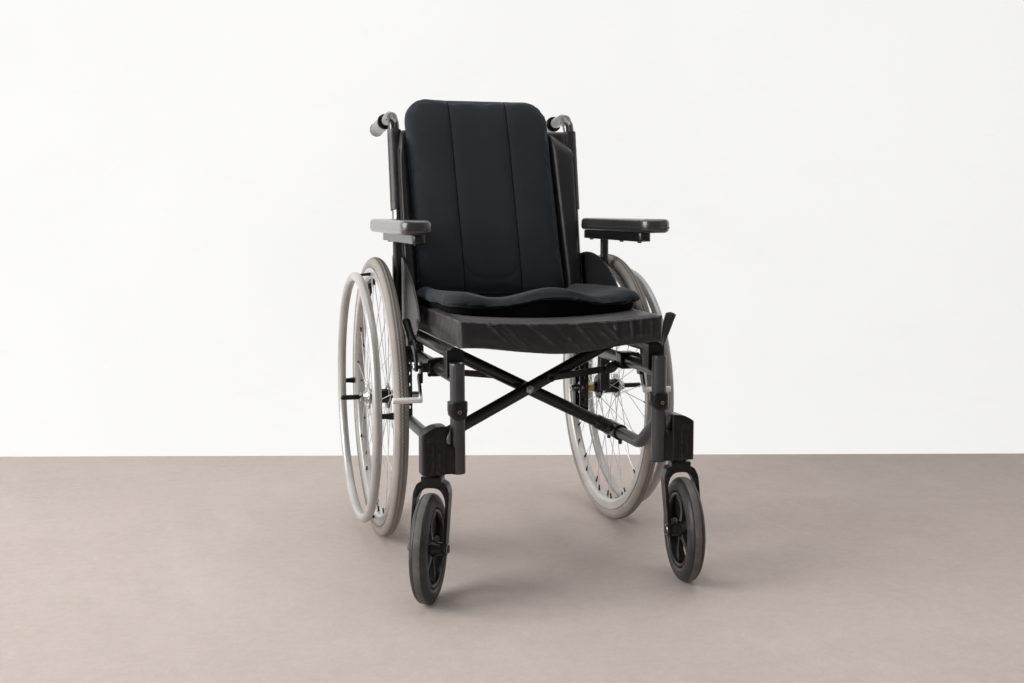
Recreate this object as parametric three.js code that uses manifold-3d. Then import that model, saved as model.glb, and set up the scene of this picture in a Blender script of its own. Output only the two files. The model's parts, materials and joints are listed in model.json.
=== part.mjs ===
// Folding wheelchair: two side frames joined by a crossed brace, with spoked rear wheels,
// swivelling casters, lifting armrests, wheel locks, push handles and upholstery.
// Millimetres, +Z up. The front faces -Y and the sitter's left is +X.
// Inside the chair group, y is measured from the rear axle and z from the floor.
import * as THREE from 'three';
import { mergeVertices } from 'three/addons/utils/BufferGeometryUtils.js';
import Module from 'manifold-3d';

const wasm = await Module();
wasm.setup();

// General fits and facet counts
const fit = 0.3;
const softFit = 0.5;
const overrun = 4;
const wheelFacets = 36;
const casterFacets = 28;
const hoopFacets = 7;
const spokeFacets = 3;
const tubeFacets = 16;
const pinFacets = 10;
const holeFacets = 8;
const bendSteps = 3;

// Where the chair stands: the rear axle lies this far behind the middle of the footprint
const axleBehindMiddle = 134;

// Side frames
const frameHalfWidth = 198;
const sideTubeRadius = 12.5;
const frontTubeRadius = 14;
const frontTubeWall = 2;
const frontTubeForward = 481;
const frontTubeRise = 29;
const upperTubeRise = 100;
const lowerTubeDrop = 57;
const railRise = 43;
const lowerTubeWeldRise = 62;
const lowerTubeBendForward = 386;
const lowerTubeBendRadius = 60;
const lowerTubeTail = 22;

// Back posts and push handles
const postOffset = 7.5;
const postBehindAxle = 31;
const postBendRise = 32;
const postBendRadius = 120;
const reclineShare = 0.1727;
const handleHeight = 921;
const handleBehindAxle = 160;
const handleDropShare = 0.092;
const handleBendRadius = 46;
const gripEndBehindAxle = 345;
const gripLength = 122;
const gripRadius = 16;
const gripCapThickness = 9;
const gripRingDepth = 2.2;
const gripRingWidth = 7;
const gripRings = 2;
const gripRingSpacing = 3;

// Rear wheels
const wheelRadius = 305;
const wheelOffset = 69;
const tyreThickness = 28;
const tyreSectionSteps = 8;
const tyreBedFlat = 1;
const rimFlangeHeight = 4;
const rimFlangeThickness = 1.8;
const rimWallHeight = 10;
const rimDepth = 20;
const rimInnerHalfWidth = 7;
const handrimTubeRadius = 10;
const handrimGap = 20;
const handrimDrop = 5;
const handrimTabs = 4;
const handrimTabWidth = 18;
const handrimTabThickness = 7;
const hubFlangeSpread = 22;
const hubFlangeRadius = 27.5;
const hubFlangeThickness = 3;
const hubShellRadius = 15.5;
const hubEndRadius = 11;
const hubEndReach = 33;
const spokeCount = wheelFacets;
const spokeRadius = 1.2;
const spokeHoleRadius = 24;
const spokeRimSpread = 4;
const spokeStagger = 1.6;
const spokeLeanDegrees = 52;
const spokeEndGap = 0.6;

// Rear axle, its sleeve and the release plunger
const axleRadius = 6.35;
const sleeveRadius = 11;
const sleeveLength = 17.3;
const sleeveThreadRadius = 8;
const sleeveThreadTail = 20;
const sleeveNutRadius = 13;
const sleeveNutLength = 13;
const axleCollarRadius = 10;
const axleCollarLength = 5.6;
const plungerRadius = 3;
const plungerTravel = 3;
const plungerButtonRadius = 5.5;
const plungerButtonLength = 40;
const plungerButtonRound = 2.5;

// Axle plates
const axlePlateThickness = 4;
const axlePlateHalfWidth = 18;
const axlePlateFlange = 17;
const axlePlateFlangeThickness = 3;
const axlePlateOverTube = 8;
const axlePlateCorner = 6;
const axlePlateEndShare = 0.49;
const axlePlateHoleRadius = 5;
const axlePlateHolesUp = 3;
const axlePlateHolesDown = 1;

// Casters and forks
const casterRadius = 100;
const casterTyreWidth = 32;
const casterTyreDepth = 27;
const casterTyreFootShare = 0.55;
const casterTyreCrownShares = [[1, 1], [0.8, 0.42], [0.4, 0.08]];
const casterTrail = 38;
const casterOffset = 46;
const casterSetback = 6;
const casterSwivelRightDegrees = 24.85;
const casterSwivelLeftDegrees = 6.94;
const casterRimWidth = 26;
const casterRimWall = 6;
const casterRimBead = 4;
const casterHubRadius = 15;
const casterHubHalfLength = 27;
const casterSpokeCount = 5;
const casterSpokeWidth = 11;
const casterSpokeThickness = 14;
const forkHeadroom = 6;
const forkCrownThickness = 20;
const forkCrownHalfWidth = 19;
const forkCrownHalfDepth = 15;
const forkLegThickness = 6;
const forkLegGap = 12;
const forkBlockHeight = 9;
const forkShoulderReach = 8;
const forkShoulderFall = 3;
const forkShoulderDrop = 27;
const forkShoulderRadius = 16;
const forkShoulderTopRadius = 8;
const forkArchHeight = 20;
const forkArchTopHalfWidth = 16;
const forkArchRadius = 13;
const forkBossRadius = 13;
const forkTipDrop = 8;
const forkBoltRadius = 4;
const forkBoltHeadRadius = 7.5;
const forkBoltHeadThickness = 4;
const hexFacets = 6;
const neckRadius = 12;
const neckLength = 5;
const stemRadius = 6;
const stemLength = 62;

// Caster housings
const housingHalfWidth = 23.5;
const housingHalfDepth = 21;
const housingInnerHeight = 89;
const housingOuterHeight = 72;
const housingCorner = 9;
const housingRibs = 3;
const housingRibDepth = 1.6;
const housingRibWidth = 4;
const housingRibSpacing = 12;
const housingPlateHalfDepth = 12;
const housingPlateHeight = 44;
const housingPlateSlope = 14;

// Footrest collars
const collarHeight = 33;
const collarHalfWidth = 17.5;
const collarDrop = 42;
const collarBack = 17;
const collarFront = 19;
const collarBoltRadius = 3.5;
const collarBoltDepth = 4;

// Crossed brace
const braceForward = 250;
const braceSpread = 13.5;
const braceHalfDepth = 11;
const braceHalfHeight = 12.5;
const braceFootLength = 46;
const braceFootExtra = 2.5;
const braceSleeveWall = 4;
const braceSleeveLength = 60;
const braceWeldSetback = 6;
const railBackForward = 5;
const pivotRadius = 4;
const pivotHeadRadius = 9;
const pivotHeadThickness = 5;
const pivotSpacerRadius = 12;

// Fold links
const linkPivotInset = 30;
const linkPivotDrop = 20;
const linkAlongBrace = 50;
const linkThickness = 6;
const linkEyeRadius = 9;
const linkWaistShare = 0.72;
const lugThickness = 6;
const foldedHalfWidth = 66;

// Rail saddles
const saddleWall = 2.6;
const saddleLength = 32;
const saddleBehindTube = 0.5;
const saddleFrontWall = 4;
const saddleRise = 8;
const saddleCorner = 2.5;

// Skirt guards
const guardThickness = 3;
const guardArcGap = 6;
const guardFrontForward = 250;
const guardBackBehind = 60;
const guardRise = 8;
const guardClearance = 0.6;
const guardFrontBottomForward = 205;
const guardArcSteps = 14;
const guardCorner = 14;

// Armrests
const armPostForward = 70;
const armPostRadius = 9;
const armPostFootRise = 37;
const receiverHalfWidth = 11;
const receiverHalfDepth = 12;
const receiverReachDown = 97;
const receiverReachUp = 65;
const receiverCorner = 3;
const receiverClampHalfLength = 14;
const receiverClampWall = 5;
const receiverSaddleHeight = 12;
const receiverSaddleWall = 3.5;
const armBarHalfWidth = 13;
const armBarRise = 198;
const armBarThickness = 18;
const armBarFront = 318;
const armBarBack = 40;
const armBarCorner = 11;
const armPadInside = 18.9;
const armPadOutside = 41.1;
const armPadThickness = 28;
const armPadFront = 358;
const armPadBack = 53;
const armPadCorner = 16;
const armPadRound = 8;
const armPadRoundSteps = 3;

// Wheel locks
const lockClampForward = 303;
const lockClampHalfLength = 15;
const lockClampWall = 4.5;
const lockPlateOffset = 33;
const lockPlateThickness = 4;
const lockPlateCorner = 7;
const lockPlateBorder = 11;
const lockArmHeight = 18;
const shoePivotForward = 296;
const shoePivotDrop = 21;
const leverPivotForward = 298;
const lockPinRadius = 3.5;
const lockArmThickness = 4;
const lockArmBoss = 8.5;
const shoeRadius = 6;
const shoeGap = 8;
const shoeRiseDegrees = 6.8;
const shoeReachPastWheel = 23;
const leverThickness = 5;
const leverBoss = 9;
const leverBendBehind = 13;
const leverBendRise = 31;
const leverAngleDegrees = 28;
const leverLength = 107;
const leverGripLength = 80;
const leverGripRadius = 9.5;
const leverGripRound = 3;
const leverGripWaistShare = 0.86;

// Seat sling, box cushion and contoured pad
const planCornerPower = 8;
const edgePower = 12;
const slingGrid = [12, 2, 1];
const slingThickness = 2;
const slingSag = 16;
const slingFrontInset = 2;
const slingBack = 20;
const slingHeightOnRail = 0.4;
const cushionGrid = [10, 12, 4];
const cushionOverRail = 1;
const cushionOverhang = 19;
const cushionBack = 12;
const cushionThickness = 52;
const cushionTopSag = 10;
const cushionSideBulge = 3;
const cushionCorner = 16;
const cushionEdge = 5;
const padGrid = [18, 11, 3];
const padEdgePower = 10;
const padOverRail = 10;
const padFrontInset = 45;
const padBack = 20;
const padBandHeight = 28;
const padSideCrown = 21;
const padPommelCrown = 28;
const padTroughCrown = 8;
const padRimDropShare = 0.42;
const padBackCrown = 12;
const padTroughHalfSpacing = 106;
const padCorner = 60;
const padFrontScallop = 16;

// Back sling and back cushion, along the reclined posts
const backSlingBottom = 488;
const backSlingTop = 888;
const sleeveBottomHeight = 711;
const sleeveClothThickness = 2.6;
const backSlingFront = 14;
const backSlingThickness = 10;
const backSlingInset = 2;
const backCushionGrid = [16, 3, 14];
const backCushionEdgePower = 6;
const backCushionInset = 26;
const backCushionTaper = 2;
const backCushionBottom = 532;
const backCushionTop = 950;
const backCushionThickness = 27;
const backCushionEdgeShare = 0.5;
const backCushionCorner = 58;
const backCushionShift = 12.8;
const backCushionTiltDegrees = -1.4;
const backCushionSeamHalfSpacing = 65.5;
const backCushionSeamDepth = 2.5;
const backCushionSeamWidth = 12;

// Sizes that follow
const postHalfWidth = frameHalfWidth + postOffset;
const wheelOut = frameHalfWidth + wheelOffset;
const hubEndOut = wheelOut + hubEndReach;
const casterOut = frameHalfWidth + casterOffset;
const casterForward = frontTubeForward - casterSetback;
const saddleForward = frontTubeForward - frontTubeRadius - saddleBehindTube;
const railFrontForward = saddleForward - saddleFrontWall;
const slingFront = railFrontForward - slingFrontInset;
const cushionFront = frontTubeForward + cushionOverhang;
const padFront = frontTubeForward - padFrontInset;
const backCushionHalfWidth = frameHalfWidth - backCushionInset;
const lockPlateOut = frameHalfWidth + lockPlateOffset;
const shoeOuterOut = wheelOut + shoeReachPastWheel;
const cushionHalfWidth = frameHalfWidth + cushionOverRail;
const padHalfWidth = frameHalfWidth + padOverRail;
const backSlingHalfWidth = frameHalfWidth - backSlingInset;
const axleHeight = wheelRadius;
const upperTubeHeight = axleHeight + upperTubeRise;
const lowerTubeHeight = axleHeight - lowerTubeDrop;
const railHeight = upperTubeHeight + railRise;
const frontTubeTop = upperTubeHeight + frontTubeRise;
const lowerTubeWeldHeight = lowerTubeHeight + lowerTubeWeldRise;
const postBendHeight = railHeight + postBendRise;
const collarTopHeight = upperTubeHeight - collarDrop;
const saddleTop = railHeight + saddleRise;
const guardBottom = railHeight + guardRise;
const receiverBottom = upperTubeHeight - receiverReachDown;
const receiverTop = upperTubeHeight + receiverReachUp;
const armPostFoot = receiverBottom + armPostFootRise;
const armBarBottom = railHeight + armBarRise;
const shoePivotHeight = upperTubeHeight - shoePivotDrop;
const leverPivotHeight = upperTubeHeight;
const tyreCentreRadius = wheelRadius - tyreThickness / 2;
const rimBedRadius = tyreCentreRadius - tyreThickness / 2 + tyreBedFlat;
const rimTopRadius = rimBedRadius + rimFlangeHeight;
const rimInnerRadius = rimBedRadius - rimDepth;
const rimShoulderRadius = rimBedRadius - rimWallHeight;
const rimFlangeInner = Math.sqrt((tyreThickness / 2) ** 2 - (tyreCentreRadius - rimTopRadius) ** 2) + fit;
const rimHalfWidth = rimFlangeInner + rimFlangeThickness;
const handrimRadius = rimShoulderRadius - handrimDrop;
const handrimOut = wheelOut + tyreThickness / 2 + handrimGap + handrimTubeRadius;
const plateOut = frameHalfWidth + sideTubeRadius + fit;
const axlePlateTop = upperTubeHeight - sideTubeRadius - fit;
const axlePlatePitch = (axlePlateTop - axleHeight) / (axlePlateHolesUp + axlePlateEndShare);
const sleeveStartOut = plateOut + axlePlateThickness + fit;
const sleeveEndOut = sleeveStartOut + sleeveLength;
const threadEndOut = plateOut - fit - sleeveNutLength - sleeveThreadTail;
const collarOut = hubEndOut + fit;
const axleEndOut = collarOut + axleCollarLength;
const crownBottom = 2 * casterRadius + forkHeadroom;
const crownTop = crownBottom + forkCrownThickness;
const housingBottom = crownTop + neckLength;
const braceHalfLength = Math.hypot(frameHalfWidth, (railHeight - lowerTubeHeight) / 2);
const braceAngle = Math.atan2((railHeight - lowerTubeHeight) / 2, frameHalfWidth);
const braceCentreHeight = (railHeight + lowerTubeHeight) / 2;
const linkPivotHeight = upperTubeHeight - linkPivotDrop;
const linkPivotOut = frameHalfWidth - linkPivotInset;
const recline = Math.atan(reclineShare);
const guardInner = postHalfWidth + sideTubeRadius + fit;
const receiverOut = guardInner + guardThickness + guardClearance + receiverHalfWidth;
const armPadInner = receiverOut - armPadInside;
const armPadOuter = receiverOut + armPadOutside;
const armPadBottom = armBarBottom + armBarThickness + fit;
const radians = Math.PI / 180;

// Welds a geometry, drops empty triangles and turns its faces outwards
function closed(geometry) {
  const bare = geometry.clone();
  bare.deleteAttribute('normal');
  bare.deleteAttribute('uv');
  const welded = mergeVertices(bare);
  const corners = welded.getIndex().array;
  const place = welded.getAttribute('position');
  const a = new THREE.Vector3();
  const b = new THREE.Vector3();
  const c = new THREE.Vector3();
  const faces = [];
  let volume = 0;
  for (let i = 0; i < corners.length; i += 3) {
    const [p, q, r] = [corners[i], corners[i + 1], corners[i + 2]];
    if (p === q || q === r || r === p) continue;
    faces.push(p, q, r);
    a.fromBufferAttribute(place, p);
    b.fromBufferAttribute(place, q);
    c.fromBufferAttribute(place, r);
    volume += a.dot(b.cross(c));
  }
  if (volume < 0) faces.reverse();
  welded.setIndex(faces);
  return welded;
}

function solidOf(geometry) {
  const body = closed(geometry);
  return new wasm.Manifold(new wasm.Mesh({
    numProp: 3,
    vertProperties: new Float32Array(body.getAttribute('position').array),
    triVerts: new Uint32Array(body.getIndex().array),
  }));
}

function geometryOf(solid) {
  const mesh = solid.getMesh();
  const geometry = new THREE.BufferGeometry();
  geometry.setAttribute('position', new THREE.BufferAttribute(new Float32Array(mesh.vertProperties), 3));
  geometry.setIndex(new THREE.BufferAttribute(new Uint32Array(mesh.triVerts), 1));
  return geometry;
}

function joined(...parts) {
  return geometryOf(parts.map(solidOf).reduce((whole, part) => whole.add(part)));
}

function cut(body, ...cutters) {
  return geometryOf(cutters.map(solidOf).reduce((left, cutter) => left.subtract(cutter), solidOf(body)));
}

function common(first, second) {
  return geometryOf(solidOf(first).intersect(solidOf(second)));
}

function mirrored(geometry) {
  return closed(geometry.clone().applyMatrix4(new THREE.Matrix4().makeScale(-1, 1, 1)));
}

// Half of a bore's facet corners must still clear a round pin of the given radius
function boreRadius(radius, facets) {
  return (radius + fit) / Math.cos(Math.PI / facets);
}

function block(x0, x1, y0, y1, z0, z1) {
  const box = new THREE.BoxGeometry(Math.abs(x1 - x0), Math.abs(y1 - y0), Math.abs(z1 - z0));
  return box.translate((x0 + x1) / 2, (y0 + y1) / 2, (z0 + z1) / 2);
}

function rod(start, end, radius, facets = pinFacets, endRadius = radius) {
  const line = new THREE.Vector3().subVectors(end, start);
  const shape = new THREE.CylinderGeometry(endRadius, radius, line.length(), facets);
  const turn = new THREE.Quaternion().setFromUnitVectors(new THREE.Vector3(0, 1, 0), line.clone().normalize());
  shape.applyQuaternion(turn);
  return shape.translate(...start.clone().addScaledVector(line, 1 / 2).toArray());
}

const at = (x, y, z) => new THREE.Vector3(x, y, z);

function rodX(x0, x1, y, z, radius, facets = pinFacets) {
  return rod(at(x0, y, z), at(x1, y, z), radius, facets);
}

function rodY(y0, y1, x, z, radius, facets = pinFacets) {
  return rod(at(x, y0, z), at(x, y1, z), radius, facets);
}

function rodZ(z0, z1, x, y, radius, facets = pinFacets) {
  return rod(at(x, y, z0), at(x, y, z1), radius, facets);
}

// A closed outline with rounded corners; each point is [across, up, radius]
function outline(points) {
  const shape = new THREE.Shape();
  const count = points.length;
  points.forEach(([x, y, radius = 0], i) => {
    const before = points[(i + count - 1) % count];
    const after = points[(i + 1) % count];
    const corner = new THREE.Vector2(x, y);
    const toBefore = new THREE.Vector2(before[0] - x, before[1] - y);
    const toAfter = new THREE.Vector2(after[0] - x, after[1] - y);
    const reach = Math.min(radius, toBefore.length() / 2, toAfter.length() / 2);
    const from = corner.clone().addScaledVector(toBefore.normalize(), reach);
    const to = corner.clone().addScaledVector(toAfter.normalize(), reach);
    if (i === 0) shape.moveTo(from.x, from.y);
    else shape.lineTo(from.x, from.y);
    if (reach > 0) shape.quadraticCurveTo(x, y, to.x, to.y);
  });
  shape.closePath();
  return shape;
}

function slab(shape, depth, curveSegments = bendSteps) {
  return new THREE.ExtrudeGeometry(shape, { depth, bevelEnabled: false, steps: 1, curveSegments });
}

// An outline given as (y, z) and pushed along X
function slabX(shape, x0, x1, curveSegments) {
  const turn = new THREE.Matrix4().makeBasis(at(0, 1, 0), at(0, 0, 1), at(1, 0, 0));
  return slab(shape, x1 - x0, curveSegments).applyMatrix4(turn).translate(x0, 0, 0);
}

// An outline given as (x, z) and pushed along Y
function slabY(shape, y0, y1, curveSegments) {
  const turn = new THREE.Matrix4().makeBasis(at(1, 0, 0), at(0, 0, 1), at(0, -1, 0));
  return slab(shape, y1 - y0, curveSegments).applyMatrix4(turn).translate(0, y1, 0);
}

// An outline given as (x, y) and pushed along Z
function slabZ(shape, z0, z1, curveSegments) {
  return slab(shape, z1 - z0, curveSegments).translate(0, 0, z0);
}

// A profile of [along, radius] pairs turned about the X axis at the given y and z
function turnedX(profile, facets, y = 0, z = 0) {
  const points = profile.map(([along, radius]) => new THREE.Vector2(radius, along));
  const shape = new THREE.LatheGeometry(points, facets).rotateZ(-Math.PI / 2);
  return closed(shape).translate(0, y, z);
}

// A route whose rings stand only at its ends and round its bends
class RingRoute extends THREE.Curve {
  constructor(corners, bendRadius) {
    super();
    this.rings = [corners[0]];
    this.ways = [new THREE.Vector3().subVectors(corners[1], corners[0]).normalize()];
    for (let i = 1; i < corners.length - 1; i += 1) this.bend(corners, i, bendRadius[i - 1]);
    const last = corners.length - 1;
    this.rings.push(corners[last]);
    this.ways.push(new THREE.Vector3().subVectors(corners[last], corners[last - 1]).normalize());
  }

  bend(corners, i, radius) {
    const back = new THREE.Vector3().subVectors(corners[i - 1], corners[i]).normalize();
    const ahead = new THREE.Vector3().subVectors(corners[i + 1], corners[i]).normalize();
    const sweep = Math.PI - back.angleTo(ahead);
    const reach = radius * Math.tan(sweep / 2);
    const centre = back.clone().add(ahead).normalize();
    centre.multiplyScalar(radius / Math.cos(sweep / 2)).add(corners[i]);
    const first = corners[i].clone().addScaledVector(back, reach).sub(centre);
    const axis = new THREE.Vector3().crossVectors(back.clone().negate(), ahead).normalize();
    for (let step = 0; step <= bendSteps; step += 1) {
      const angle = sweep * step / bendSteps;
      this.rings.push(first.clone().applyAxisAngle(axis, angle).add(centre));
      this.ways.push(back.clone().negate().applyAxisAngle(axis, angle));
    }
  }

  getPointAt(share) {
    return this.rings[Math.round(share * (this.rings.length - 1))].clone();
  }

  getTangentAt(share) {
    return this.ways[Math.round(share * (this.rings.length - 1))].clone();
  }
}

function bentTube(radius, corners, bendRadius, facets = tubeFacets) {
  const route = new RingRoute(corners, bendRadius);
  const ring = new THREE.Shape();
  for (let i = 0; i < facets; i += 1) {
    const angle = 2 * Math.PI * i / facets;
    const point = [radius * Math.cos(angle), radius * Math.sin(angle)];
    if (i === 0) ring.moveTo(...point);
    else ring.lineTo(...point);
  }
  ring.closePath();
  return new THREE.ExtrudeGeometry(ring, { steps: route.rings.length - 1, bevelEnabled: false, extrudePath: route });
}

// Side frame tubes
function frontTube() {
  const tube = rodZ(housingBottom, frontTubeTop, frameHalfWidth, -frontTubeForward, frontTubeRadius, tubeFacets);
  const bore = rodZ(housingBottom - overrun, frontTubeTop + overrun, frameHalfWidth, -frontTubeForward,
    frontTubeRadius - frontTubeWall, tubeFacets);
  return cut(tube, bore);
}

function frontTubeClearance() {
  const radius = boreRadius(frontTubeRadius, tubeFacets);
  const bottom = housingBottom - overrun;
  return rodZ(bottom, frontTubeTop + overrun, frameHalfWidth, -frontTubeForward, radius, tubeFacets);
}

function lowerTubeRoute() {
  return [
    at(frameHalfWidth, -frontTubeForward, lowerTubeWeldHeight),
    at(frameHalfWidth, -lowerTubeBendForward, lowerTubeHeight),
    at(frameHalfWidth, postBehindAxle + lowerTubeTail, lowerTubeHeight),
  ];
}

function lowerSideTube() {
  return cut(bentTube(sideTubeRadius, lowerTubeRoute(), [lowerTubeBendRadius]), frontTubeClearance());
}

// The upper tube carries the lug and pin on which the fold link turns
function upperSideTube(linkFace, linkWay) {
  const tube = rodY(-frontTubeForward, postBehindAxle, frameHalfWidth, upperTubeHeight, sideTubeRadius, tubeFacets);
  const lugNear = linkFace + linkWay * (linkThickness + fit);
  const lugFar = lugNear + linkWay * lugThickness;
  const lug = slabY(outline([
    [frameHalfWidth, upperTubeHeight - sideTubeRadius / 2],
    [frameHalfWidth - sideTubeRadius / 2, upperTubeHeight],
    [linkPivotOut - linkEyeRadius, linkPivotHeight + linkEyeRadius, linkEyeRadius],
    [linkPivotOut - linkEyeRadius, linkPivotHeight - linkEyeRadius, linkEyeRadius],
    [linkPivotOut + linkEyeRadius, linkPivotHeight - linkEyeRadius, linkEyeRadius],
  ]), Math.min(lugNear, lugFar), Math.max(lugNear, lugFar));
  const pin = rodY(linkFace, lugFar, linkPivotOut, linkPivotHeight, pivotRadius);
  const postRoom = bentTube(boreRadius(sideTubeRadius, tubeFacets), backPostRoute().slice(0, 3), [postBendRadius]);
  return cut(joined(tube, lug, pin), frontTubeClearance(), postRoom);
}

// Back posts with the push handles bent from the same tube
function backPostRoute() {
  const handleWay = at(0, 1, -handleDropShare);
  const postWay = at(0, reclineShare, 1);
  const knee = at(postHalfWidth, postBehindAxle, postBendHeight);
  const top = at(postHalfWidth, handleBehindAxle, handleHeight);
  const gap = top.clone().sub(knee);
  const rise = (gap.z * handleWay.y - gap.y * handleWay.z) / (postWay.z * handleWay.y - postWay.y * handleWay.z);
  const corner = knee.clone().addScaledVector(postWay, rise);
  const end = top.clone().addScaledVector(handleWay, gripEndBehindAxle - gripCapThickness - fit - handleBehindAxle);
  return [at(postHalfWidth, postBehindAxle, lowerTubeHeight), knee, corner, end];
}

function backPost() {
  const post = bentTube(sideTubeRadius, backPostRoute(), [postBendRadius, handleBendRadius]);
  const radius = boreRadius(sideTubeRadius, tubeFacets);
  const back = postBehindAxle + lowerTubeTail + overrun;
  return cut(post, rodY(0, back, frameHalfWidth, lowerTubeHeight, radius, tubeFacets));
}

function pushGrip() {
  const route = backPostRoute();
  const way = new THREE.Vector3().subVectors(route[3], route[2]).normalize();
  const end = route[3].clone().addScaledVector(way, gripCapThickness + fit);
  const bore = boreRadius(sideTubeRadius, tubeFacets);
  const waist = gripRadius - gripRingDepth;
  const points = [[0, 0], [waist, 0], [gripRadius, gripRingDepth]];
  for (let ring = 1; ring <= gripRings; ring += 1) {
    const middle = gripRingWidth * ring * gripRingSpacing;
    points.push([gripRadius, middle - gripRingWidth / 2]);
    points.push([waist, middle]);
    points.push([gripRadius, middle + gripRingWidth / 2]);
  }
  points.push([gripRadius, gripLength - gripRingDepth], [waist, gripLength], [bore, gripLength]);
  points.push([bore, gripCapThickness], [0, gripCapThickness]);
  const shape = new THREE.LatheGeometry(points.map(([radius, along]) => new THREE.Vector2(radius, along)), tubeFacets);
  const turn = new THREE.Quaternion().setFromUnitVectors(at(0, 1, 0), way.clone().negate());
  return closed(shape.applyQuaternion(turn).translate(...end.toArray()));
}

// Fittings on the front tube
function casterHousing() {
  const inner = casterOut - housingHalfWidth;
  const outer = casterOut + housingHalfWidth;
  const front = -casterForward - housingHalfDepth;
  const back = -casterForward + housingHalfDepth;
  const plan = slabZ(outline([
    [inner, front, housingCorner], [outer, front, housingCorner],
    [outer, back, housingCorner], [inner, back, housingCorner],
  ]), housingBottom, housingBottom + housingInnerHeight);
  const side = slabY(outline([
    [inner - overrun, housingBottom - overrun], [outer + overrun, housingBottom - overrun],
    [outer + overrun, housingBottom + housingOuterHeight, housingCorner],
    [casterOut, housingBottom + housingInnerHeight, housingHalfWidth],
    [inner - overrun, housingBottom + housingInnerHeight, housingCorner],
  ]), front - overrun, back + overrun);
  const ribs = [];
  for (let i = 0; i < housingRibs; i += 1) {
    const x = casterOut + (i - (housingRibs - 1) / 2) * housingRibSpacing;
    const height = housingBottom + housingOuterHeight - housingCorner;
    ribs.push(block(x - housingRibWidth / 2, x + housingRibWidth / 2, front - overrun,
      front + housingRibDepth, housingBottom - overrun, height));
  }
  const plate = slabY(outline([
    [frameHalfWidth, housingBottom], [inner + overrun, housingBottom],
    [inner + overrun, housingBottom + housingPlateHeight + housingPlateSlope],
    [frameHalfWidth, housingBottom + housingPlateHeight],
  ]), -frontTubeForward - housingPlateHalfDepth, -frontTubeForward + housingPlateHalfDepth);
  const bore = rodZ(housingBottom - overrun, crownTop + neckLength + stemLength + fit, casterOut, -casterForward,
    boreRadius(stemRadius, pinFacets));
  return cut(joined(common(plan, side), plate), ...ribs, frontTubeClearance(), bore);
}

function footrestCollar() {
  const left = frameHalfWidth - collarHalfWidth;
  const right = frameHalfWidth + collarHalfWidth;
  const bottom = collarTopHeight - collarHeight;
  const face = slabY(outline([
    [left, collarTopHeight, fit], [left, bottom, collarHalfWidth],
    [right, bottom, collarHalfWidth], [right, collarTopHeight, fit],
  ]), -frontTubeForward - collarFront, -frontTubeForward + collarBack);
  const round = rodZ(bottom - overrun, collarTopHeight + overrun, frameHalfWidth, -frontTubeForward,
    collarFront, tubeFacets);
  const boltFront = -frontTubeForward - collarFront;
  const bolt = rodY(boltFront - overrun, boltFront + collarBoltDepth, frameHalfWidth,
    collarTopHeight - collarHalfWidth, collarBoltRadius);
  return cut(common(face, round), frontTubeClearance(), bolt);
}

// The saddle straddles the upper side tube behind the front tube, and the rail drops into it from above
function railSaddle() {
  const back = -saddleForward + saddleLength;
  const radius = boreRadius(sideTubeRadius, tubeFacets);
  const halfWidth = radius + saddleWall;
  const body = slabY(outline([
    [frameHalfWidth - halfWidth, upperTubeHeight],
    [frameHalfWidth + halfWidth, upperTubeHeight],
    [frameHalfWidth + halfWidth, saddleTop, saddleCorner],
    [frameHalfWidth - halfWidth, saddleTop, saddleCorner],
  ]), -saddleForward, back);
  const front = -railFrontForward - fit;
  const groove = rodY(front, back + overrun, frameHalfWidth, railHeight, radius, tubeFacets);
  const mouth = block(frameHalfWidth - radius, frameHalfWidth + radius, front, back + overrun,
    railHeight, saddleTop + overrun);
  const tubeRoom = rodY(-saddleForward - overrun, back + overrun, frameHalfWidth, upperTubeHeight, radius, tubeFacets);
  return cut(body, groove, mouth, tubeRoom);
}

// Axle plate: a channel with a row of axle holes, its web outside the two side tubes
function axlePlate() {
  const low = lowerTubeHeight - axlePlateOverTube;
  const high = upperTubeHeight + axlePlateOverTube;
  const web = slabX(outline([
    [-axlePlateHalfWidth, low, axlePlateCorner], [axlePlateHalfWidth, low, axlePlateCorner],
    [axlePlateHalfWidth, high, axlePlateCorner], [-axlePlateHalfWidth, high, axlePlateCorner],
  ]), plateOut, plateOut + axlePlateThickness);
  const flangeLow = lowerTubeHeight + sideTubeRadius + fit;
  const flanges = [-1, 1].map((way) => block(plateOut - axlePlateFlange, plateOut + axlePlateThickness / 2,
    way * axlePlateHalfWidth, way * (axlePlateHalfWidth - axlePlateFlangeThickness), flangeLow, axlePlateTop));
  const holes = [];
  for (let i = -axlePlateHolesDown; i <= axlePlateHolesUp; i += 1) {
    const z = axleHeight + i * axlePlatePitch;
    const radius = i === 0 ? boreRadius(sleeveThreadRadius, pinFacets) : sleeveThreadRadius;
    const facets = i === 0 ? pinFacets : holeFacets;
    holes.push(rodX(plateOut - overrun, plateOut + axlePlateThickness + overrun, 0, z, radius, facets));
    holes.push(rodY(-axlePlateHalfWidth - overrun, axlePlateHalfWidth + overrun, plateOut - axlePlateFlange / 2,
      z, axlePlateHoleRadius, holeFacets));
  }
  return cut(joined(web, ...flanges), ...holes);
}

function rearAxle() {
  const bore = boreRadius(plungerRadius, pinFacets);
  return turnedX([
    [threadEndOut, bore],
    [threadEndOut, sleeveThreadRadius],
    [threadEndOut + sleeveThreadTail, sleeveThreadRadius],
    [threadEndOut + sleeveThreadTail, sleeveNutRadius],
    [plateOut - fit, sleeveNutRadius],
    [plateOut - fit, sleeveThreadRadius],
    [sleeveStartOut, sleeveThreadRadius],
    [sleeveStartOut, sleeveRadius],
    [sleeveEndOut, sleeveRadius],
    [sleeveEndOut, axleRadius],
    [collarOut, axleRadius],
    [collarOut, axleCollarRadius],
    [axleEndOut, axleCollarRadius],
    [axleEndOut, bore],
    [threadEndOut, bore],
  ], pinFacets, 0, axleHeight);
}

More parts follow.
